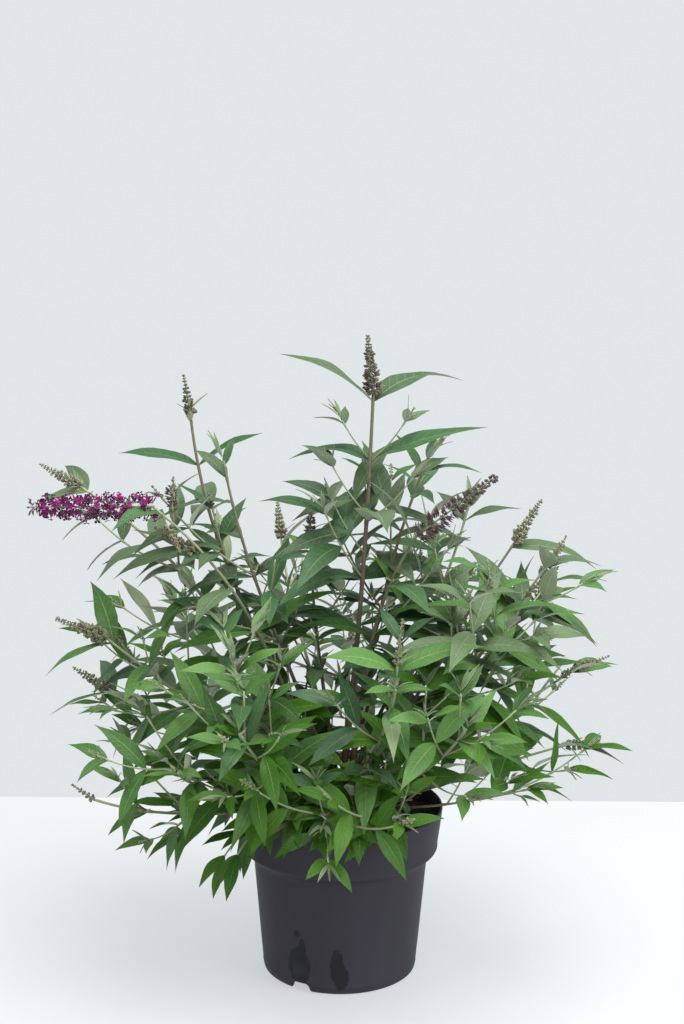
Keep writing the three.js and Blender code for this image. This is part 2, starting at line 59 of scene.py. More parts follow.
# Finishes.
def paint(colour):  # (red, green, blue) out of 255; a node's value or a ready colour passes through
    if not isinstance(colour, tuple) or len(colour) > 3:
        return colour
    levels = (level / 255 for level in colour)
    return (*(level / 12.92 if level < 0.04045 else ((level + 0.055) / 1.055) ** 2.4 for level in levels), 1)


class Value:  # a node's output: reckoning with it adds Math nodes
    def __init__(self, finish, output):
        self.finish, self.output = finish, output

    def maths(self, operation, first, second=0.0):
        return self.finish.node("ShaderNodeMath", {"operation": operation}, {0: first, 1: second})

    def __add__(self, other):
        return self.maths("ADD", self, other)

    def __sub__(self, other):
        return self.maths("SUBTRACT", self, other)

    def __rsub__(self, other):
        return self.maths("SUBTRACT", other, self)

    def __mul__(self, other):
        return self.maths("MULTIPLY", self, other)

    def __truediv__(self, other):
        return self.maths("DIVIDE", self, other)

    def __abs__(self):
        return self.maths("ABSOLUTE", self)

    def wave(self):
        return self.maths("SINE", self)

    __radd__ = __add__
    __rmul__ = __mul__


class Finish:  # one material, built round its own shader
    def __init__(self, name, **fixed):
        self.material = bpy.data.materials.new(name)
        self.material.use_nodes = True
        self.tree = self.material.node_tree
        self.shader = self.tree.nodes["Principled BSDF"]
        for socket, value in fixed.items():
            self.feed(self.shader.inputs[socket.replace("_", " ")], value)

    def feed(self, socket, value):
        if isinstance(value, Value):
            self.tree.links.new(value.output, socket)
        else:
            socket.default_value = value

    def node(self, kind, settings=None, inputs=None, output=0):
        made = self.tree.nodes.new(kind)
        for name, setting in (settings or {}).items():
            if name == "stops":
                ramp = made.color_ramp.elements
                while len(ramp) < len(setting):
                    ramp.new(0.5)
                for stop, (at, colour) in zip(ramp, setting):
                    stop.position, stop.color = at, paint(colour)
            else:
                setattr(made, name, setting)
        for socket, value in (inputs or {}).items():
            self.feed(made.inputs[socket], value)
        return Value(self, made.outputs[output])

    def place(self, x=1, y=1, z=1):  # the surface's place in the frame, stretched
        here = self.node("ShaderNodeTexCoord", output="Object")
        return self.node("ShaderNodeVectorMath", {"operation": "MULTIPLY"}, {0: here, 1: (x, y, z)})

    def parts(self, where):
        return [self.node("ShaderNodeSeparateXYZ", inputs={0: where}, output=i) for i in range(3)]

    def noise(self, scale, detail=2, where=None):
        inputs = {"Vector": where or self.place(), "Scale": scale, "Detail": detail}
        return self.node("ShaderNodeTexNoise", inputs=inputs)

    def cells(self, scale, where=None):
        return self.node("ShaderNodeTexVoronoi", inputs={"Vector": where or self.place(), "Scale": scale})

    def worn(self, name):  # a value that the mesh carries from point to point
        return self.node("ShaderNodeAttribute", {"attribute_name": name}, output="Fac")

    def ease(self, value, low, high):
        inputs = {"Value": value, "From Min": low, "From Max": high}
        return self.node("ShaderNodeMapRange", {"interpolation_type": "SMOOTHSTEP"}, inputs)

    def ramp(self, value, *stops):
        return self.node("ShaderNodeValToRGB", {"stops": stops}, {0: value})

    def mix(self, factor, first, second):
        inputs = {0: factor, 6: paint(first), 7: paint(second)}
        return self.node("ShaderNodeMix", {"data_type": "RGBA"}, inputs, 2)

    def colour(self, value):
        self.feed(self.shader.inputs["Base Color"], value)

    def rough(self, value):
        self.feed(self.shader.inputs["Roughness"], value)

    def relief(self, *layers):  # (height, depth in metres) pairs, one bump on another
        normal = None
        for height, depth in layers:
            inputs = {"Height": height, "Distance": depth, "Strength": 1.0}
            if normal:
                inputs["Normal"] = normal
            normal = self.node("ShaderNodeBump", inputs=inputs)
        self.feed(self.shader.inputs["Normal"], normal)


# Meshes.
class Growth:  # points in mm, faces and their values, gathered for one piece
    def __init__(self, name, slot, *finishes):
        self.name, self.slot, self.finishes = name, slot, finishes
        self.points, self.faces, self.sorts = [], [], []
        self.values = {"along": [], "across": [], "tone": []}

    def add(self, points, faces, sorts=0, along=0.0, across=0.0, tone=0.5):
        start = len(self.points)
        self.points += points
        self.faces += [tuple(start + i for i in face) for face in faces]
        self.sorts += sorts if isinstance(sorts, list) else [sorts] * len(faces)
        for key, value in zip(("along", "across", "tone"), (along, across, tone)):
            self.values[key] += value if isinstance(value, list) else [value] * len(points)

    def build(self, *nodes):
        mesh = bpy.data.meshes.new(self.name)
        mesh.from_pydata([point * 0.001 for point in self.points], [], self.faces)
        for key, values in self.values.items():
            mesh.attributes.new(key, "FLOAT", "POINT").data.foreach_set("value", values)
        for finish in self.finishes:
            mesh.materials.append(finish.material)
        mesh.polygons.foreach_set("material_index", self.sorts)
        mesh.polygons.foreach_set("use_smooth", [True] * len(self.faces))
        mesh.update()
        piece = bpy.data.objects.new(self.name, mesh)
        bpy.context.scene.collection.objects.link(piece)
        if self.slot:
            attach(piece, "root")
            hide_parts(*nodes)
        triangles = sum(len(face) - 2 for face in self.faces)
        print(f"{self.name}: {triangles} triangles")
        return piece


def closedRings(count, sides):  # the faces between rings of points, with a cap at each end
    faces = [
        (low + j, low + (j + 1) % sides, low + sides + (j + 1) % sides, low + sides + j)
        for low in range(0, (count - 1) * sides, sides)
        for j in range(sides)
    ]
    return faces + [tuple(range(sides))[::-1], tuple(range((count - 1) * sides, count * sides))]


def tube(growth, spine, radii, sides, tone, ripple=None):
    # rings along a spine, each turned as little as possible from the one before
    points, lengths, tones = [], [], []
    normal = None
    for i, centre in enumerate(spine):
        ahead = (spine[min(i + 1, len(spine) - 1)] - spine[max(i - 1, 0)]).normalized()
        if normal is None:
            normal = ahead.orthogonal()
        normal = (normal - ahead * normal.dot(ahead)).normalized()
        other = ahead.cross(normal)
        share = i / (len(spine) - 1)
        for j in range(sides):
            angle = 2 * math.pi * j / sides
            reach = radii[i] * (ripple(angle, centre) if ripple else 1)
            points.append(centre + (normal * math.cos(angle) + other * math.sin(angle)) * reach)
        lengths += [share] * sides
        tones += [tone[0] + (tone[1] - tone[0]) * share] * sides
    growth.add(points, closedRings(len(spine), sides), along=lengths, tone=tones)


def lathe(growth, profile, sides, ripple=None):
    points = []
    for radius, height in profile:
        for j in range(sides):
            angle = 2 * math.pi * j / sides
            swell = ripple(angle, radius, height) if ripple else 0
            points.append(Vector((math.cos(angle), math.sin(angle), 0)) * (radius + swell) + up * height)
    growth.add(points, closedRings(len(profile), sides))


def spindle(growth, root, direction, length, radius, tone, swell=(0.75, 1), sort=0):
    # a bud or a crumb: pointed at both ends, with two rings between
    sides, places = 5, (0.3, 0.68)
    first = direction.orthogonal().normalized() * radius
    second = direction.cross(first).normalized() * radius
    points = [root, root + direction * length]
    for at, share in zip(places, swell):
        for j in range(sides):
            angle = 2 * math.pi * (j + at) / sides
            out = (first * math.cos(angle) + second * math.sin(angle)) * share
            points.append(root + direction * length * at + out)
    faces = []
    for j in range(sides):
        a, b = 2 + j, 2 + (j + 1) % sides
        faces += [(0, b, a), (a, b, b + sides, a + sides), (a + sides, b + sides, 1)]
    growth.add(points, faces, sort, along=[0, 1] + [places[0]] * sides + [places[1]] * sides, tone=tone)


# The growing rule, the same as in the solids.
def seededDraws(seed):  # Park and Miller's numbers, after a few thrown away
    state = seed

    def following():
        nonlocal state
        state = state * 48271 % 2147483647
        return state / 2147483647

    for _ in range(5):
        following()
    return lambda low, high: low + (high - low) * following()


def heading(azimuth, pitch):
    level = math.cos(pitch)
    return Vector((level * math.cos(azimuth), level * math.sin(azimuth), math.sin(pitch)))


class Limb:  # bends in one upright plane, so one level vector serves all its sections
    def __init__(self, start, end, startHeading, endHeading, side):
        self.length = (end - start).length
        reach = 0.38 * self.length
        self.knots = (start, start + startHeading * reach, end - endHeading * reach, end)
        self.side = side

    def point(self, t):
        a, b, c, d = self.knots
        s = 1 - t
        return a * s**3 + b * 3 * s * s * t + c * 3 * s * t * t + d * t**3

    def tangent(self, t):
        a, b, c, d = self.knots
        s = 1 - t
        return ((b - a) * s * s + (c - b) * 2 * s * t + (d - c) * t * t).normalized()

    def outward(self, t, turn):
        tangent = self.tangent(t)
        rise = self.side.cross(tangent).normalized()
        return tangent, self.side * math.cos(turn) + rise * math.sin(turn)


leafRule = {
    "length": (0.86, 1.1),    # shares of the length asked for
    "sag": (0.25, 0.6),
    "roll": (-0.45, 0.45),
    "sunk": 0.45,             # mm of its foot inside the stem
    "bend": 0.5,
    "width": (0.225, 0.035),  # share of its length, and what the shortest leaf adds
    "full": 90,
}


def makeLeaf(limb, t, turn, spread, length, draw):
    rule = leafRule
    tangent, outward = limb.outward(t, turn)
    leave = tangent * math.cos(spread) + outward * math.sin(spread)
    size = length * draw(*rule["length"])
    sag = draw(*rule["sag"]) * math.sqrt(size / rule["full"])
    roll = draw(*rule["roll"])
    root = limb.point(t) - outward * rule["sunk"]
    width, wider = rule["width"]
    return {
        "root": root,
        "bend": root + leave * size * rule["bend"],
        "tip": root + (leave - up * sag).normalized() * size,
        "size": size,
        "width": size * (width + wider * (1 - min(1, size / rule["full"]))),
        "roll": roll,
        "outward": outward,
        "away": Vector((root.x, root.y, 0)).normalized(),
    }


def makePair(limb, t, turn, spread, length, draw):
    return [makeLeaf(limb, t, turn + half * math.pi, spread, length, draw) for half in (0, 1)]


postureLook = {               # pairs hold the value low down and high up
    "between": (200, 420),
    "longer": (0.96, 1.1),
    "rising": (0.42, 0.78),   # share of its climb that a blade keeps
    "falling": (0.92, 0.66),  # and of its fall
    "full": 70,               # mm, the length from which a leaf takes all of this
    "upright": 0.6,           # blades with less level reach than this swing aside, over "swingAbove"
    "swingAbove": 225,
    "swing": (1.4, 0.4),      # how far its tip swings, and the bend's share of that
    "arch": 0.05,
    "droop": (-0.04, 0.03),
    "outlook": (0.8, 0.15),
    "middle": 0.42,           # where its direction is taken, from root to tip
    "steep": 0.25,            # blades that climb more steeply than this turn with the stem
}


def settleLeaf(leaf, longer=1.0):
    # the blade as it hangs: arched, with its tip drooping and its face to the light
    look = postureLook
    root, weight = leaf["root"], min(1, leaf["size"] / look["full"])
    low, high = look["between"]
    height = min(1, max(0, (root.z - low) / (high - low)))
    keys = ("droop", "outlook", "longer", "rising" if leaf["tip"].z > root.z else "falling")
    droop, outlook, grown, level = (look[key][0] * (1 - height) + look[key][1] * height for key in keys)
    longer *= grown
    leaf["size"] *= longer
    leaf["width"] *= longer
    level = 1 - (1 - level) * weight
    reach, bend = leaf["tip"] - root, leaf["bend"] - root
    full = reach.length * longer
    swing = look["upright"] - math.hypot(reach.x, reach.y) / reach.length
    if swing > 0 and (reach.z > 0 or root.z > look["swingAbove"]):
        share, bendShare = look["swing"]
        aside = leaf["away"].cross(up) * (swing * share * reach.length * (1 if leaf["roll"] > 0 else -1))
        reach, bend = reach + aside, bend + aside * bendShare
    reach.z *= level
    bend.z *= level
    stretch = full / reach.length
    leaf["bend"] = root + bend * stretch + up * leaf["size"] * look["arch"] * weight
    leaf["tip"] = root + reach * stretch - up * leaf["size"] * droop * weight
    direction = (leaf["bend"] - root).lerp(leaf["tip"] - leaf["bend"], look["middle"]).normalized()
    across = direction.cross((up + leaf["away"] * outlook).normalized())
    if across.length < look["steep"]:
        across = direction.cross(leaf["outward"])
        across *= math.copysign(1, across.cross(direction).dot(leaf["away"]))
    roll = math.copysign(leaf["roll"], -across.y)  # its face turns a little to the front
    leaf["across"] = Matrix.Rotation(roll, 3, direction) @ across.normalized()


shootRule = {
    "shortest": 32,
    "longest": 116,
    "longestAt": 0.66,      # of the way down the cane
    "length": (0.75, 1.1),  # shares of the length that belongs to its place
    "above": 2.2,           # mm over its leaf pair
    "open": (47, 8),        # degrees from the cane, and how much that varies
    "rise": (0.25, 0.55),   # how far it turns up, on the whole and at its tip
    "level": 0.2,           # a shoot this upright takes its level vector from the cane
    "endNode": 4.5,
    "pairSpacing": 39,
    "lowestPair": 0.3,
    "twist": 0.35,
    "endPair": (40, 0.72),  # degrees from the shoot and share of the leaf's size
    "pairs": (58, 1),
    "leafShare": 0.66,
    "spikeLonger": 96,
    "share": 0.25,
}


def growShoot(limb, t, turn, length, leafSize, draw):
    rule = shootRule
    tangent, outward = limb.outward(t, turn)
    opening, varies = rule["open"]
    spread = math.radians(opening + draw(-varies, varies))
    leave = tangent * math.cos(spread) + outward * math.sin(spread)
    start = limb.point(t)
    rise, tipRise = rule["rise"]
    end = start + (leave + up * rise).normalized() * length
    side = up.cross(leave)
    side = (limb.side.copy() if side.length < rule["level"] else side).normalized()
    branch = Limb(start, end, leave, (leave + up * tipRise).normalized(), side)
    leaves = []
    for p in range(max(1, math.floor(length / rule["pairSpacing"] + 0.5))):
        at = 1 - (rule["endNode"] + p * rule["pairSpacing"]) / length
        twist = (p % 2) * math.pi / 2 + draw(-rule["twist"], rule["twist"])
        opening, share = rule["pairs" if p else "endPair"]
        leaves += makePair(branch, max(rule["lowestPair"], at), twist, math.radians(opening), leafSize * share, draw)
    return {"branch": branch, "leaves": leaves, "length": length}


flowering = {
    "firstNode": 7,
    "internodes": [50, 52, 50, 46],
    "sizes": [0.86, 1, 1, 0.96, 0.9],
    "open": [46, 56, 62, 66],
}
bracted = {**flowering, "sizes": [0.3, 0.95, 1, 0.96, 0.9]}
leafy = {
    "firstNode": 4.5,
    "internodes": [13, 28, 42, 48],
    "sizes": [0.4, 0.68, 0.92, 1, 0.94],
    "open": [30, 46, 58, 64],
}

# name, seed, foot, end, lift, lean, habit, spike (kind, length, pitch), bushy, leaf, turn, bare
canes = [
    ("leader", 13, (-84, 81), (28, 0, 580), 84, 88, flowering, ("bud", 58, 96), 1.7, 104, 63, 0.24),
    ("left_tall", 23, (145, 57), (-150, 40, 554), 66, 84, bracted, ("bud", 40, 80), 0.9, 78, 164, 0.26),
    ("left_inner", 37, (-170, 68), (-114, -20, 518), 74, 80, leafy, ("head", 16, 70), 1, 76, 80, 0.28),
    ("left_flowering", 41, (-146, 49), (-178, -60, 481), 66, 40, flowering, ("bloom", 118, 3), 1, 86, 20, 0.26),
    ("left_upper", 53, (180, 46), (-252, -6, 489), 60, 34, flowering, ("bud", 46, 30), 1, 64, 40, 0.4),
    ("left_spike", 67, (-169, 28), (-226, -30, 345), 36, 40, flowering, ("bud", 54, 24), 1, 84, 60, 0.24),
    ("left_back", 71, (163, 28), (-238, 72, 264), 28, 28, flowering, ("bud", 46, 26), 0.9, 84, 30, 0.22),
    ("left_low", 83, (-161, 8), (-235, -82, 201), 8, 24, flowering, ("bud", 28, 40), 0.8, 82, 50, 0.2),
    ("front_left_low", 97, (-145, 18), (-165, -112, 252), 18, 44, leafy, ("head", 12, 50), 0.9, 82, 10, 0),
    ("front_left", 101, (-120, 30), (-92, -160, 293), 30, 52, leafy, ("head", 14, 70), 1, 84, 0, 0.2),
    ("front_left_tall", 113, (-113, 51), (-100, -118, 352), 56, 80, leafy, ("head", 14, 80), 1, 80, 40, 0.24),
    ("centre", 127, (119, 76), (-32, 22, 438), 80, 88, flowering, ("bud", 38, 92), 0.75, 74, 60, 0.24),
    ("right_flowering", 131, (-32, 64), (71, -20, 447), 80, 58, flowering, ("faded", 98, 39), 1, 88, 66, 0.24),
    ("right_inner", 149, (32, 72), (84, 34, 516), 78, 66, leafy, ("head", 20, 50), 1.1, 74, 20, 0.26),
    ("right_back_tall", 151, (41, 51), (128, 100, 455), 68, 74, leafy, ("head", 14, 70), 1, 84, 70, 0.26),
    ("right_spike", 163, (5, 54), (169, 20, 433), 55, 56, flowering, ("bud", 50, 59), 0.9, 88, 80, 0.26),
    ("right_upper", 173, (-12, 37), (196, -44, 427), 48, 56, flowering, ("bud", 32, 60), 1, 84, 20, 0.28),
    ("front_right", 181, (-39, 44), (156, -90, 377), 46, 54, leafy, ("head", 12, 60), 1, 100, 8, 0.24),
    ("right_middle", 191, (9, 27), (235, 30, 302), 26, 32, flowering, ("bud", 36, 20), 0.8, 88, 36, 0.22),
    ("right_low", 211, (-2, 11), (222, -4, 233), 12, 16, flowering, ("bud", 36, 3), 0.75, 92, 54, 0.2),
    ("front_right_low", 223, (-28, 10), (178, -96, 220), 10, 22, leafy, ("head", 10, 30), 1, 90, 0, 0),
    ("front_spike", 227, (-72, 46), (50, -150, 356), 46, 78, flowering, ("bud", 30, 80), 0.9, 88, 12, 0.24),
    ("rim_left", 239, (-96, 22), (-16, -142, 200), 22, 4, leafy, ("head", 8, 10), 1, 74, 0, 0),
    ("rim_right", 241, (-68, 16), (56, -128, 196), 18, 6, leafy, ("head", 8, 10), 1, 72, 10, 0),
    ("front_middle", 257, (-56, 30), (112, -165, 300), 30, 50, leafy, ("head", 12, 60), 1, 88, 4, 0.22),
    ("back_tall", 263, (104, 55), (-66, 190, 398), 62, 66, flowering, ("bud", 44, 70), 1, 88, 50, 0.26),
    ("back_right_tall", 271, (73, 46), (74, 192, 380), 56, 60, leafy, ("head", 14, 70), 1, 88, 30, 0.26),
    ("back_right", 283, (47, 31), (165, 175, 305), 34, 40, flowering, ("bud", 42, 36), 0.9, 88, 40, 0.22),
    ("back_left", 293, (135, 37), (-172, 172, 320), 38, 40, leafy, ("head", 12, 50), 1, 90, 40, 0.22),
    ("back_low", 311, (88, 24), (10, 238, 268), 24, 36, flowering, ("bud", 38, 30), 0.9, 88, 20, 0.22),
]
caneRule = {
    "foot": (17, 18, 163.35),  # mm out from the axis and up from the crown's middle, and that middle's height
    "bareMargin": 0.06,
    "step": {"leader": 54},    # degrees from one leaf pair to the next, where that isn't a quarter round
    "turnDraw": 12,
    "spacing": (0.9, 1.1),
    "fullLeaf": 88,            # mm, the leaf that the internodes are given for
}


def pick(values, k):
    return values[min(k, len(values) - 1)]


def growCane(cane):
    name, seed, foot, end, lift, lean, habit, spike, bushy, leaf, turn, bare = cane
    rule = caneRule
    draw = seededDraws(seed)
    end = Vector(end)
    azimuth, pitch = map(math.radians, foot)
    out, rise, crown = rule["foot"]
    start = heading(azimuth, pitch) * out
    start.z = math.sin(pitch) * rise + crown
    course = math.atan2(end.y - start.y, end.x - start.x)
    side = heading(course + math.pi / 2, 0)
    limb = Limb(start, end, heading(course, math.radians(lift)), heading(course, math.radians(lean)), side)
    nodes = []
    below = habit["firstNode"]
    while 1 - below / limb.length > bare + rule["bareMargin"]:
        k, t = len(nodes), 1 - below / limb.length
        around = math.radians(turn + rule["step"].get(name, 90) * k + draw(-rule["turnDraw"], rule["turnDraw"]))
        pair = makePair(limb, t, around, math.radians(pick(habit["open"], k)), leaf * pick(habit["sizes"], k), draw)
        down = min(1, (1 - t) / shootRule["longestAt"])
        longest = shootRule["shortest"] + (shootRule["longest"] - shootRule["shortest"]) * math.sin(math.pi * down)
        sides = []
        for half in (0, 1):
            vigour = draw(0, 1)
            length = longest * draw(*shootRule["length"])
            at = t + shootRule["above"] / limb.length
            shoot = growShoot(limb, at, around + half * math.pi, length, leaf * shootRule["leafShare"], draw)
            sides.append({**shoot, "bears": k > 0 and vigour < shootRule["share"] * bushy, "vigour": vigour})
        nodes.append({"t": t, "around": around, "pair": pair, "sides": sides})
        below += pick(habit["internodes"], k) * (leaf / rule["fullLeaf"]) * draw(*rule["spacing"])
    grown = {"name": name, "seed": seed, "limb": limb, "nodes": nodes}
    return {**grown, "spike": spike, "leaf": leaf, "bare": bare, "end": end}


# Gathering the plant.
chance = random.Random(2024)  # seeded again for each cane, so that an edit to one leaves the others alone
uniform = chance.uniform

potLook = {
    "sides": 144,
    "notches": {"count": 3, "first": 240, "width": 23, "height": 8.6, "radii": (69, 82)},  # degrees and mm
    "outer": [(0, 76.6), (117, 86.6), (122, 91), (128.5, 96.8), (167, 101.4)],
}


def potRadius(height):
    levels = potLook["outer"]
    for (low, first), (high, second) in zip(levels, levels[1:]):
        if height <= high:
            return first + (second - first) * (height - low) / (high - low)
    return levels[-1][1]


spaceLook = {
    "lowest": 108,           # mm, below which nothing hangs
    "lowestLeft": 76,        # and beyond x = "left"
    "left": -95,
    "spare": 6,              # mm past the frame's own reach
    "eye": (0, -1800, 825),  # the place in front that the crown's gaps are seen from
    "gaps": (                # x from, to, z from, to on the upright plane y = 0
        (-224, -168, 484, 504),
        (-134, -79, 488, 506),
        (-90, -66, 478, 539),
        (-90, -61, 425, 453),
        (130, 181, 423, 455),
        (215, 255, 256, 294),
    ),
    "bareRim": (64, 60),     # past this x and before this y the rim shows
    "bareOut": 84,
    "bareBelow": 204,
    "narrowBelow": 206,      # under this height the crown is narrower
    "narrow": (-238, 214),
    "rimTop": 172,
    "wall": (4, 1.5),        # mm inside and outside the wall that stay clear
    "soilTop": 162,
}


def isInGap(point):
    x, y, z = spaceLook["eye"]
    share = -y / (point.y - y)
    across, height = x + (point.x - x) * share, z + (point.z - z) * share
    return any(left < across < right and low < height < high for left, right, low, high in spaceLook["gaps"])


def isFree(points):  # clear of the pot, the soil, the bare rim and the gaps, and within the frame's own reach
    look = spaceLook
    spare, (inside, outside) = look["spare"], look["wall"]
    crossing = set()
    if any(map(isInGap, points)):
        return False
    for point in points:
        out, rim = math.hypot(point.x, point.y), potRadius(point.z)
        if point.z < look["lowestLeft" if point.x < look["left"] else "lowest"]:
            return False
        if not all(boxLow[i] - spare < point[i] < boxHigh[i] + spare for i in range(3)):
            return False
        if point.z < look["narrowBelow"] and not look["narrow"][0] < point.x < look["narrow"][1]:
            return False
        beforeRim = out > look["bareOut"] and point.x > look["bareRim"][0] and point.y < look["bareRim"][1]
        if point.z < look["bareBelow"] and beforeRim:
            return False
        if point.z < look["rimTop"]:
            crossing.add(out < rim)
            if rim - inside < out < rim + outside or (out < rim and point.z < look["soilTop"]):
                return False
    return len(crossing) < 2


def ribPoint(leaf, t):
    return leaf["root"] * (1 - t) ** 2 + leaf["bend"] * (2 * t * (1 - t)) + leaf["tip"] * t * t


def shortenLeaf(leaf, share):
    for key in ("bend", "tip"):
        leaf[key] = leaf["root"].lerp(leaf[key], share)
    for key in ("size", "width"):
        leaf[key] *= share


leafLook = {
    "rows": 14,
    "smallRows": 7,
    "small": 30,       # mm, under which a leaf has fewer rows
    "fold": 0.16,      # margins above the rib, as a share of the half width
    "crown": 0.12,     # how far each half bulges
    "tooth": 0.014,
    "wave": 0.13,
    "waves": 8,
    "thick": 0.26,
    "ribThick": 1.6,   # times the blade's own thickness
    "petiole": 0.6,
    "twist": 0.7,
    "nearGap": 0.78,   # share of its length that a leaf keeps where its tip would close a gap
    "probes": (0.25, 0.4, 0.55, 0.7, 0.85, 1),  # places along it that have to be free
    "widest": 0.42,
    "edge": 0.4,
}


def leafIsFree(leaf):
    look = leafLook
    edge = leaf["across"] * leaf["width"] * look["edge"]
    middle = ribPoint(leaf, look["widest"])
    return isFree([ribPoint(leaf, t) for t in look["probes"]] + [middle + edge, middle - edge])


bladeForms = {  # how slowly the blade widens and narrows, and how broad it is
    "dark": (1.0, 1.45, 1.18),
    "mid": (1.0, 1.5, 1.14),
    "upper": (1.0, 1.5, 1.18),
    "bright": (0.95, 1.28, 1.16),
    "young": (1.0, 1.45, 0.8),
}
bladeFaces = {}


def facesOfBlade(rows):
    if rows not in bladeFaces:
        columns, last = 5, 1 + rows * 5
        faces = []
        for j in range(columns - 1):
            faces.append((0, 2 + j, 1 + j))
            for i in range(rows - 1):
                p = 1 + i * columns + j
                faces.append((p, p + 1, p + 1 + columns, p + columns))
            p = 1 + (rows - 1) * columns + j
            faces.append((p, p + 1, last))
        under = [tuple(last + 1 + i for i in face[:1] + face[:0:-1]) for face in faces]
        bladeFaces[rows] = (faces + under, [0] * len(faces) + [1] * len(under))
    return bladeFaces[rows]


def drawLeaf(growth, leaf, tone, form):
    look = leafLook
    rows = look["rows"] if leaf["size"] > look["small"] else look["smallRows"]
    widen, narrow, broad = form
    peak = widen / (widen + narrow)
    top = peak**widen * (1 - peak) ** narrow
    half = leaf["width"] / 2 * broad
    twist, phase = uniform(-0.5, 0.5) * look["twist"], uniform(0, 6.3)
    upper, lower = [leaf["root"]], [leaf["root"]]
    along, across = [0.0], [0.0]
    for i in range(1, rows + 1):
        t = i / (rows + 1)
        centre = ribPoint(leaf, t)
        direction = ((leaf["bend"] - leaf["root"]) * (1 - t) + (leaf["tip"] - leaf["bend"]) * t).normalized()
        side = (leaf["across"] - direction * leaf["across"].dot(direction)).normalized()
        side = Matrix.Rotation(twist * (t - 0.3), 3, direction) @ side
        normal = side.cross(direction)
        reach = max(look["petiole"], half * t**widen * (1 - t) ** narrow / top)
        reach *= 1 + look["tooth"] * (1 if i % 2 else -1)
        for share in (-1, -0.5, 0, 0.5, 1):
            lift = look["fold"] * abs(share) + (look["crown"] if abs(share) == 0.5 else 0)
            lift += look["wave"] * share * share * math.sin(phase + look["waves"] * t + share)
            point = centre + side * reach * share + normal * reach * lift
            upper.append(point)
            lower.append(point - normal * look["thick"] * (look["ribThick"] if share == 0 else abs(share) < 1))
            along.append(t)
            across.append(share)
    upper.append(leaf["tip"])
    lower.append(leaf["tip"])
    faces, sorts = facesOfBlade(rows)
    growth.add(upper + lower, faces, sorts, (along + [1.0]) * 2, (across + [0.0]) * 2, tone)


# Each spray is dealt one of five kinds of leaf, by its height, its depth and the draw.
under = Finish("leaf_underside", Roughness=0.75, Sheen_Weight=0.35, Sheen_Roughness=0.6)
undersideRib = 1 - under.ease(abs(under.worn("across")), 0.04, 0.14)
undersideFelt = under.noise(900, 3)
underBase = under.ramp(
    under.noise(55) * 0.6 + under.worn("tone") * 0.4,
    (0.25, (114, 132, 91)),
    (0.75, (150, 164, 125)),
)
under.colour(under.mix(undersideRib * 0.5, underBase, (176, 186, 150)))
under.relief((undersideFelt, 0.0002), (undersideRib, 0.0005))

leafColours = {
    "dark": ((36, 67, 40), (60, 94, 54), (93, 117, 73)),
    "mid": ((46, 80, 35), (75, 113, 51), (108, 134, 79)),
    "upper": ((53, 73, 47), (79, 98, 65), (109, 125, 94)),
    "bright": ((34, 73, 11), (59, 99, 18), (86, 119, 38)),
    "young": ((78, 98, 64), (108, 126, 90), (134, 148, 114)),
}


def leafFinish(name, deep, fresh, pale):
    finish = Finish("leaf_" + name, Specular_IOR_Level=0.25)
    along, side, tone = finish.worn("along"), abs(finish.worn("across")), finish.worn("tone")
    mottle = finish.noise(60, 3)
    veins = finish.ease((along * 69 - side * 8).wave(), 0.55, 1) * (1 - side * 0.6)
    rib = 1 - finish.ease(side, 0.03, 0.1)
    blade = finish.ramp(tone * 0.7 + mottle * 0.45 - 0.08, (0.15, deep), (0.85, fresh))
    blade = finish.mix(veins * 0.2, blade, pale)
    finish.colour(finish.mix(rib * 0.65, blade, pale))
    finish.rough(0.4 + mottle * 0.2)
    finish.relief((finish.noise(1500, 2), 0.00006), (veins + rib * 2, 0.0002))
    return finish


leaves = {
    kind: Growth("leaves_" + kind, "foliage", leafFinish(kind, *colours), under)
    for kind, colours in leafColours.items()
}
kindLook = {
    "bright": (330, 200, 0.8),  # mm where bright leaves begin and are most, and their share there
    "dark": (0.5, 0.15),        # share of dark leaves on the axis and at the outside
    "outside": 220,
    "strays": 0.05,             # of young leaves among the rest
    "upper": (300, 440),        # mm between which the mid leaves give way to upper ones
}


def leafKind(place):
    look = kindLook
    begins, most, share = look["bright"]
    if uniform(0, 1) < min(1, max(0, (begins - place.z) / (begins - most))) * share:
        return "bright"
    inner, outer = look["dark"]
    if uniform(0, 1) < inner - (inner - outer) * min(1, math.hypot(place.x, place.y) / look["outside"]):
        return "dark"
    if uniform(0, 1) < look["strays"]:
        return "young"
    low, high = look["upper"]
    return "upper" if uniform(0, 1) < (place.z - low) / (high - low) else "mid"


bearLook = {
    "far": 150,            # mm from its cane, beyond which no tip reaches
    "young": 20,           # mm, under which a leaf is young
    "tone": (0.15, 0.85),  # of a spray
    "toneDraw": 0.18,      # and how much its leaves vary
}
tally = {"leaves": 0, "left out": 0}


def bearLeaves(spray, kind, stem=None, longer=1.0):
    look = bearLook
    tone = uniform(*look["tone"])
    for leaf in spray:
        settleLeaf(leaf, longer)
        if isInGap(leaf["tip"]):
            shortenLeaf(leaf, leafLook["nearGap"])
        tooFar = stem and min((stem.point(i / 12) - leaf["tip"]).length for i in range(13)) > look["far"]
        if tooFar or not leafIsFree(leaf):
            tally["left out"] += 1
            continue
        tally["leaves"] += 1
        own = kind if leaf["size"] > look["young"] else "young"
        leafTone = min(1, max(0, tone + uniform(-look["toneDraw"], look["toneDraw"])))
        drawLeaf(leaves[own], leaf, leafTone, bladeForms[own])


# Stems.
stemLook = {"sides": 8, "shootSides": 6, "limbSides": 12, "step": 5, "node": 0.55, "nodeLength": 2.4}

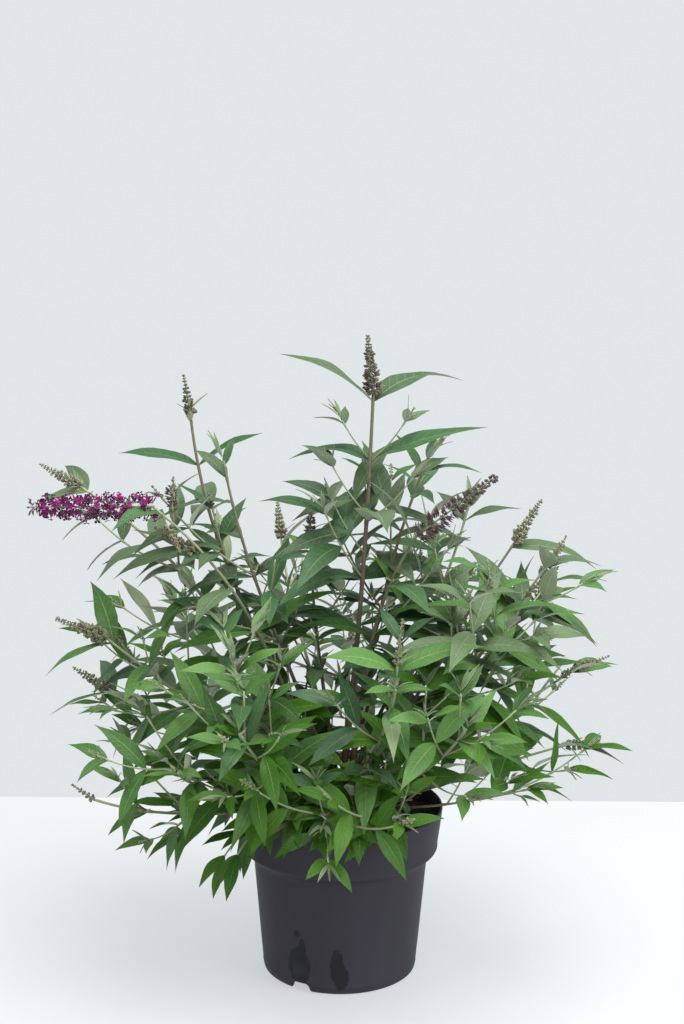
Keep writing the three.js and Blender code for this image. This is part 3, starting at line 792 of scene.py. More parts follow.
bark = Finish("bark", Roughness=0.85)
barkRidges = bark.noise(160, 4, bark.place(1, 1, 0.25))
barkFlakes = bark.cells(240, bark.place(1, 1, 0.3))
barkBase = bark.ramp(barkRidges, (0.3, (66, 48, 30)), (0.5, (118, 88, 54)), (0.72, (152, 126, 84)))
bark.colour(bark.mix(bark.ease(bark.noise(30), 0.5, 0.7) * 0.5, barkBase, (96, 98, 61)))
bark.relief((barkRidges, 0.0012), (barkFlakes, 0.0005))

stemSkin = Finish("young_stem", Roughness=0.7, Sheen_Weight=0.12, Sheen_Roughness=0.5)
stemMottle = stemSkin.noise(120, 3)
stemColour = stemSkin.ramp(
    stemSkin.worn("tone") + stemMottle * 0.2 - 0.1,
    (0.02, (106, 83, 54)),
    (0.2, (121, 104, 76)),
    (0.36, (83, 65, 61)),
    (0.6, (109, 115, 79)),
    (0.9, (137, 149, 112)),
)
stemSkin.colour(stemColour)
stemSkin.relief((stemSkin.noise(700, 2, stemSkin.place(1, 1, 0.3)), 0.0003))

twigs = Growth("twigs", "bark", stemSkin)
barkPiece = Growth("bark_limbs", "bark", bark)


def stemRadius(limb, t, first, last, nodes):
    swell = sum(math.exp(-(((t - node) * limb.length / stemLook["nodeLength"]) ** 2)) for node in nodes)
    return first + (last - first) * t + stemLook["node"] * swell


def drawStem(growth, limb, span, radii, nodes, sides, tone, ripple=None):
    begin, end = span
    steps = max(3, round((end - begin) * limb.length / stemLook["step"]))
    shares = [begin + (end - begin) * i / steps for i in range(steps + 1)]
    first, last = radii
    places = [(node - begin) / (end - begin) for node in nodes]
    sizes = [stemRadius(limb, (t - begin) / (end - begin), first, last, places) for t in shares]
    tube(growth, [limb.point(t) for t in shares], sizes, sides, tone, ripple)


def barkRipple(angle, centre):
    place = Vector((math.cos(angle) * 1.6, math.sin(angle) * 1.6, 0)) + centre * 0.16
    return 1 + 0.16 * noise.noise(place) + 0.07 * noise.noise(centre * 0.5 + Vector((0, 0, angle)))


# Spikes of buds and blossom.
spikeLook = {  # steps and buds are at the foot and at the tip, and rings say how wide it is on the way up
    "bud": {
        "step": (5.6, 2.3), "cymes": 4, "buds": (9, 3), "slender": 0.16,
        "rings": (1.22, 1.08, 0.84, 0.7, 0.5, 0.36),
    },
    "side": {
        "step": (4.4, 2.4), "cymes": 3, "buds": (4, 3), "slender": 0.22,
        "rings": (1, 0.85, 0.6),
    },
    "faded": {
        "step": (9, 3.8), "cymes": 3, "buds": (13, 6), "slender": 0.135,
        "rings": (1, 1, 0.85, 0.8, 0.55, 0.45),
    },
    "cluster": {
        "step": (3.5, 3), "cymes": 4, "buds": (6, 4), "slender": 0.36,
        "rings": (0.8, 1, 0.8),
    },
    "bloom": {
        "step": (8.4, 4.6), "cymes": 3, "buds": (7, 5), "slender": 0.13,
        "rings": (0.9, 1.05, 0.95, 0.9, 0.8, 0.6),
    },
}

budSkin = Finish("bud_felt", Roughness=0.8, Sheen_Weight=0.3, Sheen_Roughness=0.5)
budColour = budSkin.ramp(
    budSkin.worn("tone") + budSkin.noise(400) * 0.25 - 0.12,
    (0.05, (136, 142, 106)),
    (0.35, (110, 113, 78)),
    (0.62, (82, 78, 53)),
    (0.9, (62, 52, 40)),
)
budSkin.colour(budSkin.mix(budSkin.ease(budSkin.worn("along"), 0.5, 0.95) * 0.35, budColour, (66, 50, 40)))
budSkin.relief((budSkin.noise(1800, 2), 0.0002))

petalSkin = Finish("petal", Roughness=0.65, Specular_IOR_Level=0.2)
petalHeart = 1 - petalSkin.ease(petalSkin.worn("along"), 0.05, 0.4)
petalColour = petalSkin.ramp(
    petalSkin.worn("tone") + petalSkin.noise(300) * 0.3 - 0.15,
    (0.1, (66, 4, 50)),
    (0.9, (116, 10, 92)),
)
petalSkin.colour(petalSkin.mix(petalHeart * 0.6, petalColour, (58, 8, 42)))
petalSkin.relief((petalSkin.noise(1200, 2), 0.0002))

tubeSkin = Finish("floret_tube", Roughness=0.7, Sheen_Weight=0.2)
tubeColour = tubeSkin.ramp(
    tubeSkin.worn("tone") + tubeSkin.noise(350) * 0.3 - 0.15,
    (0.1, (50, 18, 34)),
    (0.9, (88, 15, 64)),
)
tubeSkin.colour(tubeSkin.mix(1 - tubeSkin.ease(tubeSkin.worn("along"), 0.1, 0.5), tubeColour, (86, 72, 58)))
tubeSkin.relief((tubeSkin.noise(1500, 2), 0.0002))

buds = Growth("bud_spikes", "foliage", budSkin)
sideSpikes = Growth("side_spikes", "foliage", budSkin)
blossom = Growth("blossom", "foliage", petalSkin, tubeSkin)

floretLook = {
    "tube": (0.55, 0.62),  # mm, closed and open
    "mouth": 1.1,
    "size": (2.5, 3.2),
    "lobe": ((0.12, 0), (0.55, 0.42), (0.98, 0.34), (1.08, 0), (0.98, -0.34), (0.55, -0.42)),
    "cup": 0.3,
}


def drawFloret(root, direction, length, isOpen, tone):
    look = floretLook
    spindle(blossom, root, direction, length, look["tube"][isOpen], tone, swell=(0.8, 1.15), sort=1)
    if not isOpen:
        return
    first = (Matrix.Rotation(uniform(0, 1.6), 3, direction) @ direction.orthogonal()).normalized()
    centre = root + direction * (length - look["mouth"])
    size = uniform(*look["size"])
    for turn in range(4):
        out = Matrix.Rotation(turn * math.pi / 2, 3, direction) @ first
        wing = direction.cross(out)
        points = [
            centre + out * size * a + wing * size * b + direction * size * (look["cup"] * a * a)
            for a, b in look["lobe"]
        ]
        blossom.add(points, [(0, 1, 2, 3), (0, 3, 4, 5)], 0, along=[0, 0.5, 0.9, 1, 0.9, 0.5], tone=tone)


cymeLook = {  # lengths are shares of the cyme's reach
    "fan": (-0.75, 0.75),
    "rise": (0.05, 0.95),
    "bloomRise": (-0.35, 0.9),
    "seat": (0.12, 0.3),
    "seatDraw": 0.16,
    "open": (0.88, 0.85),      # how far up the spike its florets open, and how many of them do
    "droop": 0.35,             # of a closed floret
    "bloom": (0.42, 0.88),
    "withered": (0.5, 0.9),    # how far up a fading spike its florets have withered, and how many of them
    "floret": (0.5, 0.95),
    "floretTone": (0.15, 0.65),
    "bud": (0.42, 0.8),
    "budWidth": (1.4, 0.28),   # mm at most, and as a share of its length
    "budTone": 0.2,
}


def drawCyme(kind, root, outward, axis, reach, count, share, shade):
    # a tight bunch of buds or florets on one side of the axis
    look = cymeLook
    side = axis.cross(outward)
    for _ in range(count):
        fan = uniform(*look["fan"])
        rise = uniform(*look["bloomRise" if kind == "bloom" else "rise"])
        direction = (outward + side * fan + axis * rise).normalized()
        seat = root + outward * reach * uniform(*look["seat"]) + axis * uniform(-1, 1) * reach * look["seatDraw"]
        if kind == "bloom":
            upTo, many = look["open"]
            isOpen = share < upTo and uniform(0, 1) < many
            direction = (direction - up * (0 if isOpen else look["droop"])).normalized()
            drawFloret(seat, direction, reach * uniform(*look["bloom"]), isOpen, uniform(0, 1))
            continue
        upTo, many = look["withered"]
        if kind == "cluster" or (kind == "faded" and share < upTo and uniform(0, 1) < many):
            length = reach * uniform(*look["floret"])
            drawFloret(seat, direction, length, False, uniform(*look["floretTone"]))
        else:
            length = reach * uniform(*look["bud"])
            widest, slender = look["budWidth"]
            tone = shade + uniform(-look["budTone"], look["budTone"])
            piece = sideSpikes if kind == "side" else buds
            spindle(piece, seat, direction, length, min(widest, length * slender), tone)


axisLook = {
    "parts": 6,
    "sides": 6,
    "sunk": 2,         # mm of its foot inside the stem
    "past": 0.5,
    "radius": 1.15,
    "taper": 0.11,     # mm for each part
    "tones": (0.75, 0.6),
    "first": 1.5,      # mm up the axis to the first whorl
    "stop": 2,         # mm under its end to the last
    "reach": (0.9, 1.12),
    "turn": 0.15,
    "endBuds": 4,
    "endUnder": 4,     # mm
    "endSpread": 0.6,
    "endBud": (3, 4),  # mm
    "endWidth": 0.8,
}


def drawSpike(kind, start, direction, length, shade):
    look, axis = spikeLook[kind], axisLook
    parts = range(axis["parts"] + 1)
    foot, whole = start - direction * axis["sunk"], direction * (length + axis["past"])
    radii = [axis["radius"] - axis["taper"] * i for i in parts]
    tube(twigs, [foot + whole * i / axis["parts"] for i in parts], radii, axis["sides"], axis["tones"])
    first = direction.orthogonal().normalized()
    (begin, finish), (firstBuds, lastBuds), rings = look["step"], look["buds"], look["rings"]
    at, whorl = axis["first"], 0
    while at < length - axis["stop"]:
        share = at / length
        ring = rings[min(len(rings) - 1, int(share * len(rings)))]
        reach = length * look["slender"] * ring * uniform(*axis["reach"])
        count = round(firstBuds + (lastBuds - firstBuds) * share)
        for j in range(look["cymes"]):
            turn = 2 * math.pi * (j / look["cymes"] + (whorl % 2) / (2 * look["cymes"]))
            turn += uniform(-axis["turn"], axis["turn"])
            outward = Matrix.Rotation(turn, 3, direction) @ first
            drawCyme(kind, start + direction * at, outward, direction, reach, count, share, shade)
        at += begin + (finish - begin) * share
        whorl += 1
    spread = (-axis["endSpread"], axis["endSpread"])
    for _ in range(axis["endBuds"]):
        lean = (direction * 2 + first * uniform(*spread) + direction.cross(first) * uniform(*spread)).normalized()
        root = start + direction * (length - axis["endUnder"])
        spindle(sideSpikes if kind == "side" else buds, root, lean, uniform(*axis["endBud"]), axis["endWidth"], shade)


tuftLook = {"pairs": ((0.2, 26, 28), (0.7, 9, 19)), "size": (0.8, 1.2), "slim": 0.72}  # place, degrees and mm


def drawTuft(limb, start, direction, length):
    # the folded young leaves that a growing tip ends in
    tip = Limb(start, start + direction * length, direction, direction, limb.side)
    for j, (t, spread, size) in enumerate(tuftLook["pairs"]):
        pair = []
        for half in (0, 1):
            turn, own = j * math.pi / 2 + half * math.pi, size * uniform(*tuftLook["size"])
            pair.append(makeLeaf(tip, t, turn, math.radians(spread), own, uniform))
            pair[-1]["width"] *= tuftLook["slim"]
        bearLeaves(pair, "young")


def drawBract(limb, t, turn, spread, size, slim):
    bract = makeLeaf(limb, t, turn, math.radians(spread), size, uniform)
    bract["width"] *= slim
    bearLeaves([bract], "young")


# Growing it all.
fill = {
    "vigour": (0.85, 0),      # shoots that the solids leave out are drawn up to this draw, low and high
    "sprigs": (0.7, 0.05),
    "between": (330, 435),
    "budded": 0.5,
    "shorter": (0.74, 0.62),  # length of those shoots, and their leaves' share of the cane's
    "thick": (0.75, 220),     # mm, and the length that adds one more
    "taper": 0.6,
    "tone": (0.4, 0.8),
    "sprigLength": 13,
    "sprigLeaf": 30,
    "sprigAbove": 1,
    "shootLeaf": 1.16,        # leaves of shoots over "shootOver", longer than in the solids
    "shootOver": 20,
    "endSpike": (11, 22),
    "endShade": (0.1, 0.6),
    "bractOpen": (30, 55),
    "bract": (14, 24),
    "bractSlim": 0.6,
    "bareFrom": 16,           # mm up a bare limb to its first low shoot
    "bareStep": 24,           # and between them
    "bareOver": 12,
    "bareTurn": (-0.5, 3.6),
    "bareTone": (0.2, 0.7),
    "bareKind": 60,           # mm, how much lower its leaves' kind is taken
    "bareShoot": (30, 66),
    "bareLeaf": 62,
    "clad": 0.16,             # share of a cane that bears them, where caneLook doesn't say
}


def byHeight(pair, height):
    low, high = fill["between"]
    return pair[0] + (pair[1] - pair[0]) * min(1, max(0, (height - low) / (high - low)))


def drawShoot(shoot, kind, limb, tone):
    branch, length = shoot["branch"], shoot["length"]
    if not isFree([branch.point(0.5), branch.point(1)]):
        return False
    least, more = fill["thick"]
    thick = least + length / more
    pairs = range(len(shoot["leaves"]) // 2)
    nodes = [1 - (shootRule["endNode"] + p * shootRule["pairSpacing"]) / length for p in pairs]
    drawStem(twigs, branch, (0, 1), (thick, thick * fill["taper"]), nodes, stemLook["shootSides"], (tone, 0.9))
    bearLeaves(shoot["leaves"], kind, limb, fill["shootLeaf"] if length > fill["shootOver"] else 1.0)
    return True


def endShoot(branch, budded):
    if budded or uniform(0, 1) < fill["budded"]:
        length = uniform(*fill["endSpike"])
        drawSpike("side", branch.point(1), branch.tangent(1), length, uniform(*fill["endShade"]))
        for half in (0, 1):
            opening, size = uniform(*fill["bractOpen"]), uniform(*fill["bract"])
            drawBract(branch, 0.985, 1 + half * math.pi, opening, size, fill["bractSlim"])
    else:
        drawTuft(branch, branch.point(1), branch.tangent(1), 8)


caneLook = {
    "stout": {
        "leader": 1.35,
        "left_tall": 1.15,
        "right_flowering": 1.15,
        "rim_left": 0.62,
        "rim_right": 0.62,
        "front_left_low": 0.62,
        "front_right_low": 0.62,
    },
    "foot": (1.9, 300),      # mm, and the length that adds one more
    "leafing": 1.95,         # mm, where the cane enters leaf
    "tip": 1.15,
    "brown": ("leader", "left_tall", "left_inner", "right_spike", "right_inner", "right_flowering"),
    "brownTone": (0.36, 0.5),
    "paleSpikes": ("left_upper", "right_middle", "right_spike"),
    "paleUnder": 430,        # mm, under which every spike is pale
    "shades": {"faded": 0.92, "bud": 0.75, "bloom": 0.75},
    "paleShade": 0.35,
    "longLeaf": {"leader": 1.16, "left_low": 0.74},
    "longPairs": 5,
    "open": ("left_tall", "left_inner", "left_upper", "left_flowering", "right_inner", "right_back_tall"),
    "openAbove": 425,        # mm, above which these canes bear no shoots
    "slight": {"leader": (0.52, 0.34)},  # shorter shoots, with smaller leaves, at its top nodes
    "slightNodes": 3,
    "tipLift": {             # of a pair's left and right leaf, as a share of its length
        ("leader", 0): (0.08, -0.24),
        ("leader", 1): (-0.16, 0.27),
        ("left_tall", 1): (0.24, 0.06),
        ("right_low", 0): (0.1, -0.14),
        ("right_low", 2): (-0.3, 0),
        ("front_right_low", 3): (-0.5, 0),
    },
    "clad": {"rim_left": 0.75, "rim_right": 0.75, "front_left_low": 0.6, "front_right_low": 0.6, "left_low": 0.55},
    "bracts": 4,             # under a spike, up a stretch of this many mm under and over the cane's end
    "bractStretch": (3, 8),
    "bractStep": 0.2,
    "bractTurn": 0.62,       # of a half turn, from one to the next
    "bractOpen": 52,
    "bract": (15, 24),
    "bractSlim": 0.5,
}

stalkLook = {"length": 16, "radii": (0.9, 0.8), "tones": (0.4, 0.6), "shade": 0.5}
# On a cane's side: place along it, kind, length, azimuth and pitch, or for a shoot its turn and its leaves' size.
sideLook = {
    "leader": (
        (0.7, "shoot", 66, 92, 58),
        (0.72, "shoot", 62, 268, 60),
        (0.62, "shoot", 70, 250, 62),
        (0.85, "shoot", 58, 117, 38),
    ),
    "left_flowering": ((0.93, "cluster", 20, 110, 72), (0.97, "bud", 34, -60, -36), (0.8, "bud", 44, 188, 32)),
    "left_upper": ((0.86, "bud", 24, -100, 20),),
    "left_spike": ((0.9, "bud", 24, 150, 46),),
    "right_upper": ((0.92, "bud", 34, 10, 52), (0.84, "bud", 26, -24, 50)),
    "right_middle": ((0.9, "bud", 26, -50, 40),),
}


def drawSideShoot(cane, k, node, half):  # whether the node's shoot on this side is drawn
    limb, name, shoot = cane["limb"], cane["name"], node["sides"][half]
    height = limb.point(node["t"]).z
    if not shoot["bears"] and (k == 0 or shoot["vigour"] >= byHeight(fill["vigour"], height)):
        return False
    slight = name in caneLook["slight"] and k < caneLook["slightNodes"]
    if slight or not shoot["bears"]:
        shorter, leafShare = caneLook["slight"][name] if slight else fill["shorter"]
        at, turn = node["t"] + shootRule["above"] / limb.length, node["around"] + half * math.pi
        shoot = growShoot(limb, at, turn, shoot["length"] * shorter, cane["leaf"] * leafShare, uniform)
    kind = leafKind(shoot["branch"].point(0.7))
    if not drawShoot(shoot, kind, limb, uniform(*fill["tone"])):
        return False
    endShoot(shoot["branch"], shoot["length"] > shootRule["spikeLonger"])
    return True


def dressNode(cane, k, node):
    limb, name = cane["limb"], cane["name"]
    place = limb.point(node["t"])
    longer = caneLook["longLeaf"].get(name, 1.0) if k < caneLook["longPairs"] else 1.0
    leftFirst = sorted(node["pair"], key=lambda leaf: leaf["tip"].x)
    for leaf, lift in zip(leftFirst, caneLook["tipLift"].get((name, k), ())):
        leaf["tip"].z += lift * leaf["size"]
    bearLeaves(node["pair"], leafKind(place), limb, longer)
    if name in caneLook["open"] and place.z > caneLook["openAbove"]:
        return
    for half in (0, 1):
        drawn = drawSideShoot(cane, k, node, half)
        if not drawn and k and uniform(0, 1) < byHeight(fill["sprigs"], place.z):
            at, turn = node["t"] + fill["sprigAbove"] / limb.length, node["around"] + half * math.pi
            sprig = growShoot(limb, at, turn, fill["sprigLength"], fill["sprigLeaf"], uniform)
            drawShoot(sprig, "young", limb, 0.8)


def dressTop(cane):
    limb, end = cane["limb"], cane["end"]
    kind, length, pitch = cane["spike"]
    direction = heading(math.atan2(end.y, end.x), math.radians(pitch))
    if kind == "head":
        drawTuft(limb, limb.point(1), direction, length)
        return
    pale = end.z < caneLook["paleUnder"] or cane["name"] in caneLook["paleSpikes"]
    drawSpike(kind, limb.point(1), direction, length, caneLook["paleShade"] if pale else caneLook["shades"][kind])
    look = caneLook
    under, over = look["bractStretch"]
    stretch = Limb(end - limb.tangent(1) * under, end + direction * over, direction, direction, limb.side)
    for j in range(look["bracts"]):
        at, turn = look["bractStep"] + look["bractStep"] * j, j * math.pi * look["bractTurn"]
        drawBract(stretch, at, turn, look["bractOpen"], uniform(*look["bract"]), look["bractSlim"])


def dressSides(cane):
    limb, look = cane["limb"], stalkLook
    for at, kind, length, azimuth, pitch in sideLook.get(cane["name"], ()):
        if kind == "shoot":
            shoot = growShoot(limb, at, math.radians(azimuth), length, pitch, uniform)
            if drawShoot(shoot, "upper", limb, 0.7):
                endShoot(shoot["branch"], False)
            continue
        direction = heading(math.radians(azimuth), math.radians(pitch))
        start = limb.point(at)
        stalk = Limb(start, start + direction * look["length"], direction, direction, limb.side)
        drawStem(twigs, stalk, (0, 1), look["radii"], [], stemLook["shootSides"], look["tones"])
        drawSpike(kind, stalk.point(1), direction, length, look["shade"])


def dressFoot(cane):
    limb, low = cane["limb"], fill["bareFrom"]
    clad = max(cane["bare"], caneLook["clad"].get(cane["name"], fill["clad"]))
    while low < limb.length * clad + fill["bareOver"]:
        at, turn = low / limb.length, uniform(*fill["bareTurn"])
        shoot = growShoot(limb, at, turn, uniform(*fill["bareShoot"]), fill["bareLeaf"], uniform)
        drawShoot(shoot, leafKind(limb.point(at) - up * fill["bareKind"]), limb, uniform(*fill["bareTone"]))
        low += fill["bareStep"]


for cane in map(growCane, canes):
    chance.seed(cane["seed"])
    look, limb, bare = caneLook, cane["limb"], cane["bare"]
    stout = look["stout"].get(cane["name"], 1)
    least, more = look["foot"]
    base, leafing = (least + limb.length / more) * stout, look["leafing"] * stout
    brown = cane["name"] in look["brown"]
    tones = look["brownTone"] if brown else (uniform(0.05, 0.6), 0.85)
    if bare:
        drawStem(barkPiece, limb, (0, bare), (base, leafing), [], stemLook["limbSides"], (0, 0), barkRipple)
    nodeShares = [node["t"] for node in cane["nodes"]]
    radii = (leafing if bare else base, look["tip"] * stout)
    drawStem(twigs, limb, (bare, 1), radii, nodeShares, stemLook["sides"], tones)
    for k, node in enumerate(cane["nodes"]):
        dressNode(cane, k, node)
    dressTop(cane)
    dressSides(cane)
    dressFoot(cane)

# Basal shoots: dense over the front rim, sparser round the rest, and two that hang on the left.
rimLook = {
    "first": -178,            # degrees, and how far round they go
    "round": 352,
    "sway": 5,
    "swerve": 0.2,
    "front": (-160, -24),
    "gap": (-52, 24),
    "steps": (10, 21),        # in front and round the rest
    "start": 20,
    "startHeight": (166, 174),
    "reach": (76, 118),
    "height": (176, 206),
    "headings": (0.6, -0.25),
    "radii": (1.5, 0.8),
    "nodes": [0.25, 0.5, 0.75],
    "tones": (0.15, 0.7),
    "leaf": 60,
    "pairs": ((0.97, 34, 0.75), (0.8, 52, 1), (0.58, 62, 1), (0.34, 66, 0.9)),  # place, degrees, leaf's share
}
hangingLook = {
    "ends": ((-98, -92, 150), (-112, -64, 138)),
    "start": 20,
    "startHeight": 170,
    "headings": (0.7, -0.9),
    "radii": (1.6, 0.8),
    "nodes": [0.5, 0.78],
    "tones": (0.3, 0.8),
    "leaf": 50,
    "pairs": ((0.99, 24, 1), (0.78, 42, 1), (0.5, 58, 1)),
}


def drawBasal(look, start, end, course):
    leave, arrive = look["headings"]
    limb = Limb(start, end, heading(course, leave), heading(course, arrive), heading(course + math.pi / 2, 0))
    drawStem(twigs, limb, (0, 1), look["radii"], look["nodes"], stemLook["shootSides"], look["tones"])
    for j, (t, opening, share) in enumerate(look["pairs"]):
        turn = j * math.pi / 2 + uniform(-0.3, 0.3)
        bearLeaves(makePair(limb, t, turn, math.radians(opening), look["leaf"] * share, uniform), "bright")
    return limb


azimuth = rimLook["first"]
while azimuth < rimLook["first"] + rimLook["round"]:
    if rimLook["gap"][0] < azimuth < rimLook["gap"][1]:
        azimuth += rimLook["steps"][1]
        continue
    course = math.radians(azimuth + uniform(-rimLook["sway"], rimLook["sway"]))
    start = heading(course, 0) * rimLook["start"] + up * uniform(*rimLook["startHeight"])
    course += uniform(-rimLook["swerve"], rimLook["swerve"])
    end = heading(course, 0) * uniform(*rimLook["reach"]) + up * uniform(*rimLook["height"])
    limb = drawBasal(rimLook, start, end, math.atan2(end.y - start.y, end.x - start.x))
    drawTuft(limb, end, limb.tangent(1), 6)
    azimuth += rimLook["steps"][0 if rimLook["front"][0] < azimuth < rimLook["front"][1] else 1]

for end in map(Vector, hangingLook["ends"]):
    course = math.atan2(end.y, end.x)
    drawBasal(hangingLook, heading(course, 0) * hangingLook["start"] + up * hangingLook["startHeight"], end, course)
print("plant:", tally)

rootLook = {
    "profile": [(25, 0), (21, 4), (19.4, 11), (16, 18), (9.5, 24), (3, 26.6)],
    "tip": (0.5, 27),
    "base": 159.35,
    "between": 6,  # finer rings to each step of the profile
    "sides": 72,
}


def rootRipple(angle, radius, height):
    place = Vector((math.cos(angle) * 2.4, math.sin(angle) * 2.4, height * 0.07))
    ridges = noise.noise(place * 2.2) * 1.3 + noise.noise(place * 5) * 0.7
    return radius * 0.07 * math.sin(3 * angle + height * 0.2) + ridges * min(1, radius / 10)


rootRings, finer = [], rootLook["between"]
for (r0, h0), (r1, h1) in zip(rootLook["profile"], rootLook["profile"][1:]):
    rootRings += [
        (r0 + (r1 - r0) * i / finer, rootLook["base"] + h0 + (h1 - h0) * i / finer) for i in range(finer)
    ]
tipRadius, tipHeight = rootLook["tip"]
lathe(barkPiece, rootRings + [(tipRadius, rootLook["base"] + tipHeight)], rootLook["sides"], rootRipple)

masses = ["leaves_" + cane[0] for cane in canes]
for growth in leaves.values():
    growth.build(*masses)
twigs.build(*masses)
buds.build(*masses)
sideSpikes.build(*masses)
blossom.build("leaves_left_flowering", "leaves_right_flowering")
barkPiece.build("rootstock", *("bough_" + cane[0] for cane in canes if cane[-1]))
print("plant: built")


# The pot.
plastic = Finish("pot_plastic", Specular_IOR_Level=0.22)
x, y, z = plastic.parts(plastic.place())
aroundPot = x.maths("ARCTAN2", x, y * -1)
blur = plastic.noise(160, 3)


def mark(azimuth, height, halfAngle, halfHeight, edge):  # a wet patch on the wall
    a = (aroundPot - azimuth) / halfAngle
    h = (z - height) / halfHeight
    return 1 - plastic.ease(a * a + h * h + (blur - 0.5) * edge * 4, 0.75, 1.1)


wetMarks = (  # azimuth, height, half angle and half height, in radians and metres, and how ragged the edge is
    (-0.53, 0.026, 0.16, 0.021, 0.3),
    (-0.47, 0.046, 0.05, 0.012, 0.3),
    (-0.03, 0.030, 0.085, 0.02, 0.3),
    (0.02, 0.019, 0.1, 0.014, 0.3),
    (-0.54, 0.061, 0.045, 0.0042, 0.1),
)
wet = sum(mark(*place) for place in wetMarks)
wet = wet.maths("MINIMUM", wet, 1.0)
dust = plastic.noise(9, 4) * (1 - plastic.ease(z, 0, 0.19) * 0.3)
streaks = plastic.noise(30, 3, plastic.place(1, 1, 0.08))
wallColour = plastic.ramp(
    dust * 0.6 + streaks * 0.4,
    (0.3, (39, 37, 45)),
    (0.55, (43, 41, 49)),
    (0.8, (52, 50, 60)),
)
plastic.colour(plastic.mix(wet * 0.9, wallColour, (15, 14, 22)))
plastic.rough(0.52 + dust * 0.16 - wet * 0.22)
plastic.relief((plastic.noise(2600, 2), 0.00006), (streaks, 0.0002))

potGrowth = Growth("pot_shell", "pot", plastic)
potProfile = [  # radius and height, from under the floor up the outside, over the rim and down inside
    (40, 8), (67, 8), (69.4, 7.2), (70.3, 5.6), (70.8, 0.4), (71.3, 0.1), (73, 0.1), (74.4, 0.5), (75.7, 1.5),
    (76.4, 3.2), (76.8, 6.6), (77.15, 7.2), (77.2, 7.9), (76.95, 8.6), (79.4, 35), (82.0, 65), (84.6, 95), (86.1, 112),
    (86.5, 115.6), (87.0, 117.6), (88.7, 120.2), (91.6, 122.6), (94.2, 124.4), (96.0, 126.2), (97.0, 128.2),
    (97.1, 129.6), (96.8, 131), (98.6, 145), (100.4, 158), (101.1, 165.2), (101.4, 167.6), (101.35, 169),
    (100.8, 169.8), (100.1, 170), (99.4, 169.7), (99.1, 168.8), (97, 148), (95.2, 129.5), (94.2, 127.4), (91.4, 125),
    (87.6, 122.4), (85.6, 119.6), (85.0, 116), (80.2, 60), (75.9, 12), (74.6, 10.4), (40, 10),
]
lathe(potGrowth, potProfile, potLook["sides"])
shell = potGrowth.build("pot")

notchLook = potLook["notches"]
cutterGrowth = Growth("notch_cutter", None)
for i in range(notchLook["count"]):
    azimuth = math.radians(notchLook["first"] + 360 * i / notchLook["count"])
    out, side = heading(azimuth, 0), heading(azimuth + math.pi / 2, 0)
    w, h = notchLook["width"] / 2, notchLook["height"]
    # from under the foot up one side and round its soft corner
    half = [(w + 0.8, -3), (w, 0.6), (w - 1.6, h - 3.4), (w - 2.6, h - 1.4), (w - 4.6, h)]
    arch = [(-a, b) for a, b in half] + half[::-1]
    points = [out * r + side * a + up * b for r in notchLook["radii"] for a, b in arch]
    cutterGrowth.add(points, [face[::-1] for face in closedRings(2, len(arch))])
cutter = cutterGrowth.build()
cut = shell.modifiers.new("notches", "BOOLEAN")
cut.operation, cut.solver, cut.object = "DIFFERENCE", "EXACT", cutter
whole = bpy.data.meshes.new_from_object(shell.evaluated_get(bpy.context.evaluated_depsgraph_get()))
shell.modifiers.clear()
shell.data = whole
bpy.data.objects.remove(cutter)
print("pot: built,", len(whole.polygons), "faces")


# The soil.
soilLook = {
    "profile": [(20, 10.4), (73.5, 10.4), (75.4, 14), (79.6, 60), (84.2, 118), (89.6, 126), (96.4, 150)],
    "level": 159,
    "edge": 156,
    "levelOut": 34,    # mm from the axis to where its top begins to fall
    "slope": 64,       # and the stretch that it falls over
    "grain": 2.0,
    "top": (98, 0.3),  # mm, the outermost and innermost rings of its top
    "rings": 54,
    "sides": 150,
    "crumbs": 1100,
    "crumbReach": 96,
    "small": (0.6, 2.2),
    "large": (2.2, 3.6),
    "smallShare": 0.85,
    "long": (1.6, 2.6),
    "wide": (0.5, 0.8),
}

peat = Finish("peat", Roughness=0.95)
peatGrain = peat.noise(420, 4)
peatLumps = peat.cells(260)
peatColour = peat.ramp(peatGrain, (0.3, (18, 12, 9)), (0.55, (38, 26, 18)), (0.75, (66, 46, 30)))
peat.colour(peat.mix(peat.ease(peat.noise(900), 0.62, 0.72) * 0.5, peatColour, (108, 82, 54)))
peat.relief((peatGrain, 0.0015), (peatLumps, 0.0012))

crumbSkin = Finish("crumbs", Roughness=0.9)
crumbColour = crumbSkin.ramp(
    crumbSkin.worn("tone"),
    (0.2, (24, 16, 12)),
    (0.8, (60, 42, 28)),
    (1, (122, 96, 64)),
)
crumbSkin.colour(crumbSkin.mix(crumbSkin.noise(500) * 0.5, crumbColour, (20, 14, 10)))
crumbSkin.relief((crumbSkin.noise(1200, 3), 0.0004))

soilGrowth = Growth("soil_top", "soil", peat, crumbSkin)


def soilHeight(x, y):
    look = soilLook
    fall = max(0, math.hypot(x, y) - look["levelOut"]) / look["slope"]
    place = Vector((x, y, 0))
    grain = noise.noise(place * 0.09) + 0.6 * noise.noise(place * 0.3) + 0.25 * noise.noise(place * 0.9)
    return look["level"] - fall * (look["level"] - look["edge"]) + look["grain"] * grain


